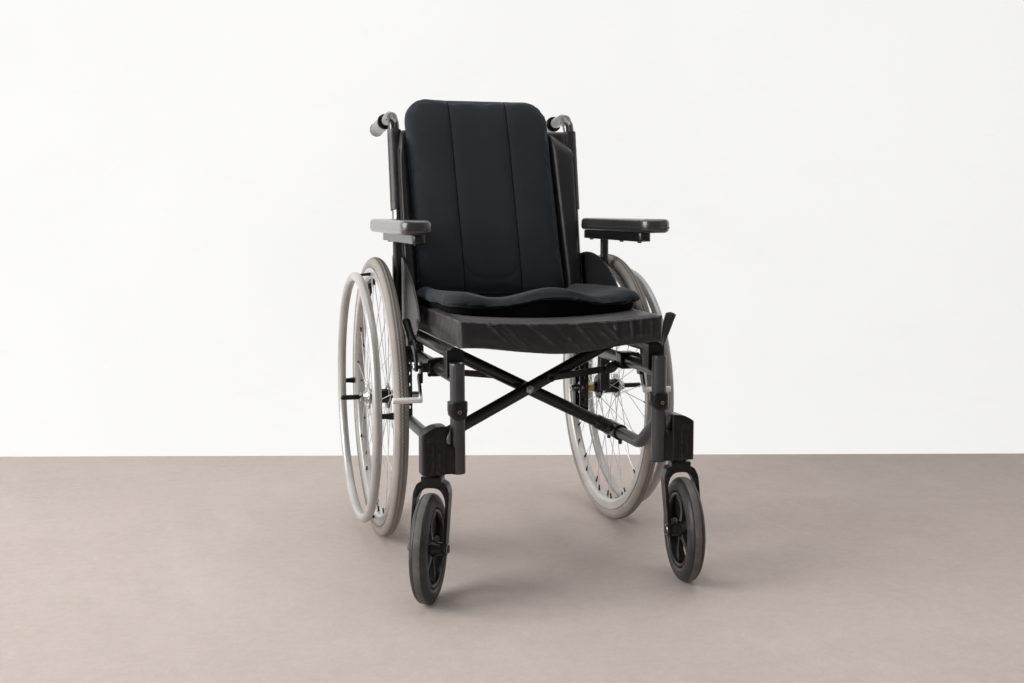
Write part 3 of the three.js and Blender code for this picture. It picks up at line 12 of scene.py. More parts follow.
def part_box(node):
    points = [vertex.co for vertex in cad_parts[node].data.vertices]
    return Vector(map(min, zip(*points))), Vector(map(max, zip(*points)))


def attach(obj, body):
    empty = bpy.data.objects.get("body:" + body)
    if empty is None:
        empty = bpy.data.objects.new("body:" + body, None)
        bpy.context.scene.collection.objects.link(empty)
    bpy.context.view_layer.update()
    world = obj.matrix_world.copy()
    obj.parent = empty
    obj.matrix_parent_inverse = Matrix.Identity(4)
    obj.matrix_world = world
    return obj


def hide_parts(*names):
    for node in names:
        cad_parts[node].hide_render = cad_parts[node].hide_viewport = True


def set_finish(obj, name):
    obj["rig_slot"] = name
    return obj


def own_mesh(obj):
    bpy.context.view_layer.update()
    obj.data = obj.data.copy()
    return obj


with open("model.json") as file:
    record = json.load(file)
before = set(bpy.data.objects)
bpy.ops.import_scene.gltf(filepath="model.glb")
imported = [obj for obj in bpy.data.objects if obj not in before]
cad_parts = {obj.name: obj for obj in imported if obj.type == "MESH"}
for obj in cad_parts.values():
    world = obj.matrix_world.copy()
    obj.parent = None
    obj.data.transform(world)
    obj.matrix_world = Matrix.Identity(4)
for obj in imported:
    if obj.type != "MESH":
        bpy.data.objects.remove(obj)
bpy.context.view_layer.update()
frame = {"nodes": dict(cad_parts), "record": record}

MM = 0.001
CAMERA_PLACE = (-0.6951, -2.5283, 0.71785)
CAMERA_YAW = radians(15.41)
WALL_DISTANCE = 3.528
AXLE_Y = 0.134
AXLE_Z = 0.305
WHEEL_X = 0.267
STEM_X = 0.244
STEM_Y = -0.341
TRAIL = 0.038
CASTER_RADIUS = 0.1
SWIVEL = {"right": radians(24.85), "left": radians(6.94)}
SIDES = (("right", -1), ("left", 1))
RECLINE = atan(0.1727)
POST_X = 0.2055
POST_Y = AXLE_Y + 0.031
POST_Z = 0.48
SIDE_X = 0.198
LOWER_TUBE_Z = 0.248
RAIL_TOP = 0.448 + 0.0125
LIE_GAP = 0.0004
SLING_SAG = 0.016
BOX_HEIGHT = 0.052
BOX_HOLLOW = 0.010
PAD_HALF = 0.208
PAD_MIDDLE = 0.010
TROUGH_REACH = 0.114
PANEL_SEAM_X = 0.0655
CUSHION_TAPER = 0.0115
GRIP_Z, GRIP_FALL = 0.921, 0.092
LONGEST_EDGE = 0.012
BREATH = 20
PANEL_REACH = 0.195


# ---------------------------------------------------------------- small helpers
@contextmanager
def editing(mesh):
    """Opens a mesh for bmesh work, and writes it back."""
    work = bmesh.new()
    work.from_mesh(mesh)
    yield work
    work.to_mesh(mesh)
    work.free()


def placed(name, data):
    """A new object of the scene."""
    thing = bpy.data.objects.new(name, data)
    bpy.context.collection.objects.link(thing)
    return thing


def cleaned(work, join, dissolve):
    bmesh.ops.remove_doubles(work, verts=work.verts, dist=join)
    bmesh.ops.dissolve_degenerate(work, dist=dissolve, edges=work.edges)


def clamp(value):
    return max(0.0, min(1.0, value))


def between(low, high, w):
    """From low where w is -1 to high where it is 1."""
    return low + (w + 1) / 2 * (high - low)


# ---------------------------------------------------------------- camera and lamps
def place_camera():
    data = bpy.data.cameras.new("camera")
    data.lens = 43.35
    data.sensor_width = 36
    camera = placed("camera", data)
    pitch, roll = radians(6.24), radians(-0.18)
    level = cos(pitch)
    ahead = Vector((sin(CAMERA_YAW) * level, cos(CAMERA_YAW) * level, -sin(pitch)))
    turn = ahead.to_track_quat("-Z", "Y").to_matrix().to_4x4() @ Matrix.Rotation(roll, 4, "Z")
    camera.matrix_world = Matrix.Translation(CAMERA_PLACE) @ turn
    bpy.context.scene.camera = camera


def lamp(name, place, target, size, watts, colour=(1, 1, 1)):
    data = bpy.data.lights.new(name, "AREA")
    data.shape = "RECTANGLE"
    data.size, data.size_y = size
    data.energy = watts
    data.color = colour
    light = placed(name, data)
    light.location = place
    light.rotation_euler = (Vector(target) - Vector(place)).to_track_quat("-Z", "Y").to_euler()


def light_the_room():
    lamp("window", (-3.3, -0.35, 1.75), (0, 0, 0.45), (2.8, 2.4), 150, (1.0, 0.995, 0.985))
    lamp("ceiling", (0.4, 0.2, 3.3), (0, 0, 0.2), (3.4, 2.6), 52, (1.0, 0.99, 0.975))
    lamp("fill", (2.8, -2.4, 1.5), (0, 0, 0.5), (2.2, 2.0), 6, (0.98, 0.985, 1.0))
    world = bpy.data.worlds.new("room")
    bpy.context.scene.world = world
    world.use_nodes = True
    background = world.node_tree.nodes["Background"]
    background.inputs["Color"].default_value = (0.93, 0.92, 0.91, 1)
    background.inputs["Strength"].default_value = 0.2


place_camera()
light_the_room()
bpy.context.scene.view_settings.view_transform = "Standard"


# ---------------------------------------------------------------- shared shader effects
def add_node(tree, kind, **settings):
    """A shader node with its settings and input values; an underscore in a name stands for a space."""
    node = tree.nodes.new("ShaderNode" + kind)
    for key, value in settings.items():
        if hasattr(node, key) and key not in node.inputs:
            setattr(node, key, value)
        else:
            node.inputs[key.replace("_", " ")].default_value = value
    return node


class Wiring:
    """What a shader node group and a material have in common."""

    def node(self, kind, **settings):
        return add_node(self.tree, kind, **settings)

    def join(self, source, target):
        self.tree.links.new(source, target)

    def wire(self, source, output, target, entry):
        self.join(source.outputs[output], target.inputs[entry])

    def feed(self, node, **values):
        """Sets or joins the node's inputs by name."""
        for key, value in values.items():
            entry = node.inputs[key.replace("_", " ")]
            if isinstance(value, bpy.types.NodeSocket):
                self.join(value, entry)
            else:
                entry.default_value = value
        return node

    def sum_of(self, operation, *sources):
        node = self.node("Math", operation=operation)
        for k, source in enumerate(sources):
            self.join(source, node.inputs[k])
        return node.outputs[0]

    def ramp(self, source, low, high):
        """Goes from 0 to 1 as the source goes from low to high."""
        return self.feed(self.node("MapRange"), Value=source, From_Min=low, From_Max=high).outputs["Result"]

    def place(self):
        return self.node("TexCoord").outputs["Object"]

    def mixed(self, mask, tone, other):
        """One colour, and the other where the mask is bright."""
        return self.feed(self.node("Mix", data_type="RGBA"), Factor=mask, A=tone, B=other).outputs["Result"]


class Effect(Wiring):
    """A shader node group under construction."""

    def __init__(self, name, inputs, outputs):
        self.tree = bpy.data.node_groups.new(name, "ShaderNodeTree")
        for label, value in inputs:
            kind = "NodeSocketColor" if isinstance(value, tuple) else "NodeSocketFloat"
            socket = self.tree.interface.new_socket(name=label, in_out="INPUT", socket_type=kind)
            socket.default_value = (*value, 1) if isinstance(value, tuple) else value
        for label, kind in outputs:
            self.tree.interface.new_socket(name=label, in_out="OUTPUT", socket_type=kind)
        self.given = self.tree.nodes.new("NodeGroupInput").outputs
        self.end = self.tree.nodes.new("NodeGroupOutput")

    def cloud(self, place=None, **settings):
        """Noise at the scale that the group is given."""
        node = self.node("TexNoise", **settings)
        return self.feed(node, Vector=place or self.place(), Scale=self.given["Scale"]).outputs["Fac"]

    def gives(self, **results):
        self.feed(self.end, **results)
        return self.tree


MASK = ("Mask", "NodeSocketFloat")
HEIGHT = ("Height", "NodeSocketFloat")


def colour_drift():
    """Two tones that wander slowly into each other."""
    fx = Effect("colour drift", [("Tone", (0.5, 0.5, 0.5)), ("Other tone", (0.4, 0.4, 0.4)),
            ("Scale", 20.0), ("Share", 0.5)], [("Colour", "NodeSocketColor"), MASK])
    spread = fx.ramp(fx.cloud(Detail=4.0, Roughness=0.55), 0.35, 0.65)
    mask = fx.sum_of("MULTIPLY", spread, fx.given["Share"])
    return fx.gives(Colour=fx.mixed(mask, fx.given["Tone"], fx.given["Other tone"]), Mask=mask)


def fine_grain():
    """The pebbled skin of moulded plastic, rubber and sprayed paint."""
    fx = Effect("fine grain", [("Scale", 900.0)], [HEIGHT])
    cells = fx.feed(fx.node("TexVoronoi"), Vector=fx.place(), Scale=fx.given["Scale"]).outputs["Distance"]
    return fx.gives(Height=fx.sum_of("MULTIPLY", fx.cloud(Detail=2.0, Roughness=0.6), cells))


def edge_wear_and_crest_highlight():
    """Raised edges and crests, broken up by a fine cloud: rubbed paint on the frame, and a painted highlight
    on the crests of the nylon's folds.
    """
    fx = Effect("edge wear and crest highlight", [("Start", 0.52), ("End", 0.60), ("Scale", 120.0)], [MASK])
    raised = fx.ramp(fx.node("NewGeometry").outputs["Pointiness"], fx.given["Start"], fx.given["End"])
    return fx.gives(Mask=fx.sum_of("MULTIPLY", raised, fx.ramp(fx.cloud(Detail=5.0), 0.42, 0.62)))


def scuffs():
    """Long faint scratches and rub marks."""
    fx = Effect("scuffs", [("Scale", 30.0), ("Amount", 0.5)], [MASK])
    stretch = fx.feed(fx.node("Mapping", Scale=(1, 0.25, 2.5), Rotation=(0.4, 0.3, 0.8)), Vector=fx.place())
    marks = fx.ramp(fx.cloud(stretch.outputs["Vector"], Detail=8.0, Roughness=0.7), 0.56, 0.74)
    return fx.gives(Mask=fx.sum_of("MULTIPLY", marks, fx.given["Amount"]))


def weave():
    """Threads over and under, from two crossing sets of fine waves."""
    fx = Effect("weave", [("Threads", 1500.0)], [HEIGHT, ("Dark", "NodeSocketFloat")])
    scaled = fx.feed(fx.node("VectorMath", operation="SCALE"), Vector=fx.place(), Scale=fx.given["Threads"])
    apart = fx.feed(fx.node("SeparateXYZ"), Vector=scaled.outputs[0]).outputs
    across = fx.sum_of("SINE", apart["X"])
    along = fx.sum_of("SINE", fx.sum_of("ADD", apart["Y"], apart["Z"]))
    lift = fx.ramp(fx.sum_of("MULTIPLY", across, along), -1.0, 1.0)
    return fx.gives(Height=lift, Dark=lift)


EFFECTS = {"drift": colour_drift(), "grain": fine_grain(), "wear_and_highlight": edge_wear_and_crest_highlight(), "scuffs": scuffs(),
        "weave": weave()}


# ---------------------------------------------------------------- materials
class Finish(Wiring):
    """A material with one main shader and the shared effects wired to it."""

    def __init__(self, name, rough=0.5, metal=0.0, **plain):
        self.material = bpy.data.materials.new(name)
        self.material.use_nodes = True
        self.tree = self.material.node_tree
        self.shader = self.tree.nodes["Principled BSDF"]
        for key, value in {"Roughness": rough, "Metallic": metal, **plain}.items():
            self.shader.inputs[key.replace("_", " ")].default_value = value
        self.colour = None

    def effect(self, name, **values):
        group = self.tree.nodes.new("ShaderNodeGroup")
        group.node_tree = EFFECTS[name]
        for key, value in values.items():
            key = key.replace("_", " ")
            group.inputs[key].default_value = (*value, 1) if isinstance(value, tuple) else value
        return group

    def drift(self, tone, other, scale, share=1.0):
        group = self.effect("drift", Tone=tone, Other_tone=other, Scale=scale, Share=share)
        self.colour = group.outputs["Colour"]
        return self

    def over(self, mask, tone):
        """Lays another tone over the colour where the mask is bright."""
        self.colour = self.mixed(mask, self.colour, (*tone, 1))
        return self

    def worn_and_highlighted(self, tone, start=0.52, end=0.60, scale=120.0):
        return self.over(self.effect("wear_and_highlight", Start=start, End=end, Scale=scale).outputs["Mask"], tone)

    def scuffed(self, tone, scale, amount):
        mask = self.effect("scuffs", Scale=scale, Amount=amount).outputs["Mask"]
        return self.over(mask, tone).roughened(mask, 0.25)

    def roughened(self, mask, extra):
        """Raises the roughness where the mask is bright."""
        low = self.shader.inputs["Roughness"].default_value
        ramp = self.feed(self.node("MapRange", To_Min=low, To_Max=min(1.0, low + extra)), Value=mask)
        self.wire(ramp, "Result", self.shader, "Roughness")
        return self

    def bump(self, height, strength, distance):
        bump = self.feed(self.node("Bump", Strength=strength, Distance=distance), Height=height)
        self.wire(bump, "Normal", self.shader, "Normal")
        return self

    def grained(self, scale, strength=0.25, distance=0.0002):
        return self.bump(self.effect("grain", Scale=scale).outputs["Height"], strength, distance)

    def woven(self, threads, tone, strength=0.5, distance=0.0003):
        group = self.effect("weave", Threads=threads)
        self.over(group.outputs["Dark"], tone)
        return self.bump(group.outputs["Height"], strength, distance)

    def done(self):
        self.join(self.colour, self.shader.inputs["Base Color"])
        return self.material


LOOKS = {  # by material slot
    "grey_tube": Finish("grey tube paint", 0.36, 0.25, Coat_Weight=0.15, Coat_Roughness=0.3)
        .drift((0.058, 0.059, 0.063), (0.046, 0.047, 0.051), 14).worn_and_highlighted((0.16, 0.16, 0.16))
        .scuffed((0.11, 0.11, 0.11), 22, 0.3).grained(1600, 0.1).done(),
    "black_tube": Finish("black frame paint", 0.3, 0.2, Coat_Weight=0.25, Coat_Roughness=0.16)
        .drift((0.0065, 0.0062, 0.0064), (0.0105, 0.0100, 0.0100), 12).worn_and_highlighted((0.07, 0.066, 0.063))
        .scuffed((0.030, 0.029, 0.028), 26, 0.35).grained(1500, 0.1).done(),
    "black_plastic": Finish("black moulded plastic", 0.28, 0.0, Specular_IOR_Level=0.34)
        .drift((0.0042, 0.0040, 0.0042), (0.0070, 0.0067, 0.0068), 18).worn_and_highlighted((0.034, 0.032, 0.031))
        .scuffed((0.022, 0.021, 0.020), 34, 0.3).grained(1100, 0.3).done(),
    "grip_rubber": Finish("handle grip", 0.3, 0.0, Coat_Weight=0.3, Coat_Roughness=0.2)
        .drift((0.17, 0.165, 0.16), (0.12, 0.117, 0.114), 30).scuffed((0.27, 0.26, 0.25), 40, 0.5)
        .grained(800, 0.25).done(),
    "bright_steel": Finish("bright steel", 0.26, 1.0)
        .drift((0.52, 0.52, 0.52), (0.40, 0.395, 0.39), 25).scuffed((0.27, 0.26, 0.25), 55, 0.6)
        .grained(2200, 0.08).done(),
    "brass": Finish("turned brass", 0.3, 1.0)
        .drift((0.62, 0.47, 0.22), (0.47, 0.35, 0.17), 60).scuffed((0.25, 0.18, 0.09), 80, 0.5)
        .grained(2600, 0.1).done(),
    "rim_alloy": Finish("pale alloy", 0.34, 0.35, Coat_Weight=0.2, Coat_Roughness=0.25)
        .drift((0.57, 0.555, 0.535), (0.48, 0.465, 0.445), 9).scuffed((0.33, 0.315, 0.295), 18, 0.5)
        .grained(1800, 0.06).done(),
    "tyre_grey": Finish("grey tyre", 0.7)
        .drift((0.325, 0.295, 0.265), (0.255, 0.229, 0.204), 9).scuffed((0.44, 0.41, 0.375), 14, 0.45)
        .grained(700, 0.35).done(),
    "caster_tyre": Finish("caster rubber", 0.45)
        .drift((0.0120, 0.0122, 0.0125), (0.024, 0.0237, 0.0230), 16)
        .scuffed((0.075, 0.071, 0.066), 26, 0.65).grained(900, 0.4).done(),
    "shoe_alloy": Finish("knurled alloy", 0.4, 0.1)
        .drift((0.96, 0.945, 0.93), (0.86, 0.845, 0.83), 60).scuffed((0.45, 0.43, 0.41), 70, 0.45)
        .grained(1500, 0.4).done(),
    "guard_plastic": Finish("skirt guard sheet", 0.40, 0.0, Coat_Weight=0.55, Coat_Roughness=0.32)
        .drift((0.013, 0.013, 0.0135), (0.008, 0.008, 0.0085), 8).worn_and_highlighted((0.10, 0.10, 0.10))
        .scuffed((0.085, 0.084, 0.082), 12, 0.5).grained(1300, 0.25).done(),
    # The pad's copy of the stretch cloth, painted darker than the back cushion's copy.
    "stretch_cloth": Finish("knitted stretch cloth", 0.9, 0.0, Sheen_Weight=0.22, Sheen_Roughness=0.4,
        Specular_IOR_Level=0.2, Sheen_Tint=(0.46, 0.51, 0.54, 1))
        .drift((0.0200, 0.0245, 0.0280), (0.0280, 0.0335, 0.0380), 9)
        .worn_and_highlighted((0.060, 0.068, 0.075), 0.515, 0.57, 60)
        .woven(2600, (0.0140, 0.0172, 0.0200), 0.55, 0.00025).done(),
    "nylon_cloth": Finish("black nylon cloth", 0.42, 0.0, Sheen_Weight=0.2, Sheen_Roughness=0.35,
        Specular_IOR_Level=0.55, Sheen_Tint=(0.62, 0.56, 0.60, 1))
        .drift((0.0105, 0.0088, 0.0100), (0.0155, 0.0131, 0.0147), 13)
        # The paler tone on the nylon's raised points is a painted highlight on the crests of its folds.
        .woven(3400, (0.0070, 0.0060, 0.0068), 0.4, 0.0002).worn_and_highlighted((0.080, 0.073, 0.077), 0.506, 0.56, 70)
        .done(),
    "pad_vinyl": Finish("armrest vinyl", 0.33, 0.0, Coat_Weight=1.0, Coat_Roughness=0.24)
        .drift((0.022, 0.021, 0.021), (0.034, 0.032, 0.031), 12).scuffed((0.085, 0.08, 0.078), 30, 0.45)
        .grained(650, 0.5, 0.0003).done(),
}
MORE_LOOKS = {  # for pieces that differ from the rest of their slot
    # Painted shade in the tread's zigzag grooves.
    "tread": Finish("tread grooves in painted shade", 0.85)
        .drift((0.045, 0.037, 0.030), (0.070, 0.058, 0.047), 34).scuffed((0.18, 0.155, 0.130), 60, 0.25)
        .grained(900, 0.5).done(),
    "band": Finish("caster tread band", 0.72)
        .drift((0.135, 0.127, 0.118), (0.090, 0.084, 0.078), 30).scuffed((0.22, 0.205, 0.187), 40, 0.6)
        .grained(700, 0.5).done(),
    "spoke": Finish("drawn spoke steel", 0.3, 0.7)
        .drift((0.86, 0.855, 0.845), (0.70, 0.695, 0.685), 40).scuffed((0.50, 0.49, 0.48), 70, 0.5)
        .grained(2400, 0.05).done(),
    "hand_rim": Finish("hand rim alloy", 0.36, 0.35, Coat_Weight=0.15, Coat_Roughness=0.25)
        .drift((0.49, 0.48, 0.465), (0.41, 0.40, 0.387), 11).scuffed((0.30, 0.29, 0.275), 22, 0.45)
        .grained(1800, 0.06).done(),
    # Painted shade in the reflections: the chrome's base colour is darkened so that it mirrors the bright
    # room dimly.
    "chrome": Finish("chromed tube", 0.13, 1.0)
        .drift((0.17, 0.166, 0.162), (0.125, 0.122, 0.119), 22).scuffed((0.08, 0.078, 0.075), 60, 0.45)
        .grained(2400, 0.05).done(),
    "mesh": Finish("ribbed side mesh", 0.8, 0.0, Sheen_Weight=0.2)
        .drift((0.030, 0.029, 0.030), (0.018, 0.017, 0.018), 20)
        .woven(1300, (0.006, 0.006, 0.006), 0.9, 0.0008).done(),
    # The back cushion's copy of the same stretch cloth, painted lighter: lit and shaded copies of one cloth.
    "back_cloth_painted_lighter": Finish("knitted back cover painted lighter", 0.9, 0.0, Sheen_Weight=0.5, Sheen_Roughness=0.45,
        Specular_IOR_Level=0.2, Sheen_Tint=(0.47, 0.54, 0.60, 1))
        .drift((0.0255, 0.0310, 0.0365), (0.0345, 0.0405, 0.0470), 7)
        .worn_and_highlighted((0.066, 0.073, 0.080), 0.515, 0.57, 60)
        .woven(2600, (0.0190, 0.0230, 0.0270), 0.55, 0.00025).done(),
    # Near-black cloth as painted shade: on the pad's base under its lip, and on the back cushion's panel
    # seams as the seam line together with the shade in its groove.
    "shaded": Finish("underside cloth in painted shade", 0.95, 0.0, Specular_IOR_Level=0.1)
        .drift((0.0022, 0.0022, 0.0024), (0.0036, 0.0035, 0.0037), 20)
        .woven(2600, (0.0014, 0.0014, 0.0015), 0.4, 0.0002).done(),
}
NODE_SLOT = {row["node"]: row["material_slot"] for row in frame["record"]["subparts"]}
NODE_BODY = {node: body for body, nodes in frame["record"]["behaviour"]["bodies"].items() for node in nodes}


def marked(look, effect, tone, **values):
    look.over(look.effect(effect, **values).outputs["Mask"], tone)


def floor_and_wall():
    floor = Finish("floor covering", 0.75).drift((0.550, 0.474, 0.437), (0.490, 0.416, 0.381), 2.2, 0.8)
    marked(floor, "drift", (0.455, 0.385, 0.350), Scale=13.0, Share=0.45)
    marked(floor, "drift", (0.590, 0.518, 0.482), Scale=48.0, Share=0.40)
    marked(floor, "drift", (0.450, 0.380, 0.344), Scale=170.0, Share=0.40)
    marked(floor, "scuffs", (0.64, 0.570, 0.535), Scale=3.5, Amount=0.35)
    marked(floor, "scuffs", (0.62, 0.545, 0.510), Scale=60.0, Amount=0.3)
    # Painted shade: the floor darker towards the left and towards the back.
    painted_falloff(floor, "X", (-1.5, 0.5), (0.82, 1.10))
    painted_falloff(floor, "Y", (-1.2, 1.0), (1.04, 0.86))
    floor.grained(160, 0.15, 0.001)
    wall = Finish("wall paint", 0.85).drift((0.90, 0.895, 0.885), (0.86, 0.855, 0.84), 0.9, 0.7)
    marked(wall, "scuffs", (0.80, 0.79, 0.77), Scale=3.0, Amount=0.2)
    marked(wall, "scuffs", (0.835, 0.825, 0.81), Scale=22.0, Amount=0.3)
    wall.grained(60, 0.2, 0.002)
    glowing_white_with_painted_falloff(wall)
    return floor.done(), wall.done()


def painted_falloff(look, axis, span, shares):
    """Paints light falloff: scales the colour along an axis, from the first share at the span's start to the
    last at its end.
    """
    place = look.feed(look.node("SeparateXYZ"), Vector=look.place()).outputs[axis]
    fade = look.feed(look.node("MapRange", To_Min=shares[0], To_Max=shares[1]), Value=place,
            From_Min=span[0], From_Max=span[1])
    tint = look.node("VectorMath", operation="SCALE")
    look.colour = look.feed(tint, Vector=look.colour, Scale=fade.outputs["Result"]).outputs[0]


def glowing_white_with_painted_falloff(wall):
    """The wall glows white in place of lit paint, to the camera and in shiny pieces, with painted shade a
    little darker to the right.
    """
    painted_falloff(wall, "X", (-1.2, 1.7), (1.11, 1.0))
    glow = wall.feed(wall.node("Emission"), Color=wall.colour)
    ray = wall.node("LightPath").outputs
    seen = wall.sum_of("MAXIMUM", ray["Is Camera Ray"], ray["Is Glossy Ray"])
    mix = wall.feed(wall.node("MixShader"), Fac=seen)
    wall.wire(wall.shader, "BSDF", mix, 1)
    wall.wire(glow, "Emission", mix, 2)
    wall.wire(mix, "Shader", wall.tree.nodes["Material Output"], "Surface")


# ---------------------------------------------------------------- mesh helpers
def new_piece(name, points, faces, slot, body=None, look=None, sharp=40):
    mesh = bpy.data.meshes.new(name)
    mesh.from_pydata([tuple(p) for p in points], [], faces)
    with editing(mesh) as work:
        cleaned(work, 1e-6, 1e-7)
        bmesh.ops.recalc_face_normals(work, faces=work.faces)
    piece = placed(name, mesh)
    mesh.materials.append(look or LOOKS[slot])
    smooth(piece, sharp)
    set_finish(piece, slot)
    if body:
        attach(piece, body)
    return piece


def smooth(piece, sharp):
    piece.data.shade_smooth()
    piece.data.set_sharp_from_angle(angle=radians(sharp))


def rounded(piece, width, segments=2, angle=35):
    bevel = piece.modifiers.new("rounded edges", "BEVEL")
    bevel.width, bevel.segments = width, segments
    bevel.limit_method = "ANGLE"
    bevel.angle_limit = radians(angle)


def refined(node, width, segments=2, look=None):
    """A copy of a frame node with edges softened to a width in millimetres, shown in its place."""
    source = frame["nodes"][node]
    mesh = source.data.copy()
    mesh.name = node + "_skin"
    with editing(mesh) as work:
        cleaned(work, 2e-6, 1e-6)
        bmesh.ops.dissolve_limit(work, angle_limit=radians(1.5), verts=work.verts, edges=work.edges)
    mesh.materials.clear()
    mesh.materials.append(look or LOOKS[NODE_SLOT[node]])
    piece = placed(node + "_skin", mesh)
    if mesh.attributes.get("custom_normal"):
        mesh.attributes.remove(mesh.attributes["custom_normal"])
    if width:
        rounded(piece, width * MM, segments)
        settled(piece)
    even_out(piece, LONGEST_EDGE)
    smooth(piece, 35)
    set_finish(piece, NODE_SLOT[node])
    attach(piece, NODE_BODY[node])
    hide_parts(node)
    return piece


def even_out(piece, longest):
    """Splits long edges, so that what is worked out at each point stays near it."""
    with editing(piece.data) as work:
        for _ in range(6):
            bmesh.ops.triangulate(work, faces=[f for f in work.faces if len(f.verts) > 3])
            long_edges = [e for e in work.edges if e.calc_length() > longest]
            if not long_edges:
                break
            bmesh.ops.subdivide_edges(work, edges=long_edges, cuts=1)
        bmesh.ops.triangulate(work, faces=[f for f in work.faces if len(f.verts) > 3])


def ring_faces(rings, count, closed_ends=True, loop=False):
    """Faces that join rings of points, each ring with the same count."""
    faces = []
    last = rings if loop else rings - 1
    for r in range(last):
        for i in range(count):
            a, b = r * count + i, r * count + (i + 1) % count
            c, d = ((r + 1) % rings) * count + (i + 1) % count, ((r + 1) % rings) * count + i
            faces.append((a, b, c, d))
    if closed_ends and not loop:
        faces.append(tuple(range(count))[::-1])
        faces.append(tuple((rings - 1) * count + i for i in range(count)))
    return faces


def turned(name, profile, place, slot, body=None, look=None, segments=64, axis=(1, 0, 0), closed=False,
        sharp=35):
    """A profile of (along, radius) pairs in millimetres, turned about an axis through place."""
    basis = Vector((1, 0, 0)).rotation_difference(Vector(axis)).to_matrix().to_4x4()
    basis.translation = Vector(place)
    points = []
    for along, radius in profile:
        for i in range(segments):
            angle = 2 * pi * i / segments
            points.append(basis @ (Vector((along, radius * sin(angle), radius * cos(angle))) * MM))
    faces = ring_faces(len(profile), segments, closed_ends=not closed, loop=closed)
    return new_piece(name, points, faces, slot, body, look, sharp)


def swept(name, path, radius, slot, body=None, look=None, segments=12, cyclic=False, sharp=60):
    """A round bar along a list of points; radius is a number or one per point."""
    path = [Vector(p) for p in path]
    count = len(path)
    radii = radius if isinstance(radius, (list, tuple)) else [radius] * count
    points = []
    side = None
    for k, here in enumerate(path):
        before = path[(k - 1) % count] if cyclic or k > 0 else path[k]
        after = path[(k + 1) % count] if cyclic or k < count - 1 else path[k]
        ahead = (after - before).normalized()
        if side is None:
            side = ahead.orthogonal().normalized()
        side = (side - ahead * side.dot(ahead)).normalized()
        up = ahead.cross(side)
        for i in range(segments):
            angle = 2 * pi * i / segments
            points.append(here + (side * cos(angle) + up * sin(angle)) * radii[k])
    faces = ring_faces(count, segments, closed_ends=not cyclic, loop=cyclic)
    return new_piece(name, points, faces, slot, body, look, sharp)


def merged(name, pieces, body=None):
    """Joins several pieces that share a finish into one."""
    target = pieces[0]
    tidy = bmesh.new()
    for piece in pieces:
        part = bmesh.new()
        part.from_mesh(piece.data)
        part.transform(piece.matrix_world)
        mesh = bpy.data.meshes.new("part")
        part.to_mesh(mesh)
        part.free()
        tidy.from_mesh(mesh)
        bpy.data.meshes.remove(mesh)
    mesh = bpy.data.meshes.new(name)
    tidy.to_mesh(mesh)
    tidy.free()
    for material in target.data.materials:
        mesh.materials.append(material)
    whole = placed(name, mesh)
    smooth(whole, 45)
    whole["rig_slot"] = target["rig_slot"]
    for piece in pieces:
        bpy.data.objects.remove(piece)
    if body:
        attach(whole, body)
    return whole


def bolt_head(name, place, axis, radius, height, body, slot="black_plastic"):
    """A socket screw's head, in millimetres: a short drum with a rounded rim and a recess."""
    profile = [(0, radius * 0.98), (height * 0.7, radius), (height, radius * 0.86), (height, radius * 0.5),
            (height * 0.35, radius * 0.46), (height * 0.35, 0.1)]
    return turned(name, profile, place, slot, body, segments=18, axis=axis, sharp=30)


def second_look(piece, look, chosen):
    """Gives another look to the faces whose centre is chosen."""
    piece.data.materials.append(look)
    for polygon in piece.data.polygons:
        if chosen(polygon.center):
            polygon.material_index = 1


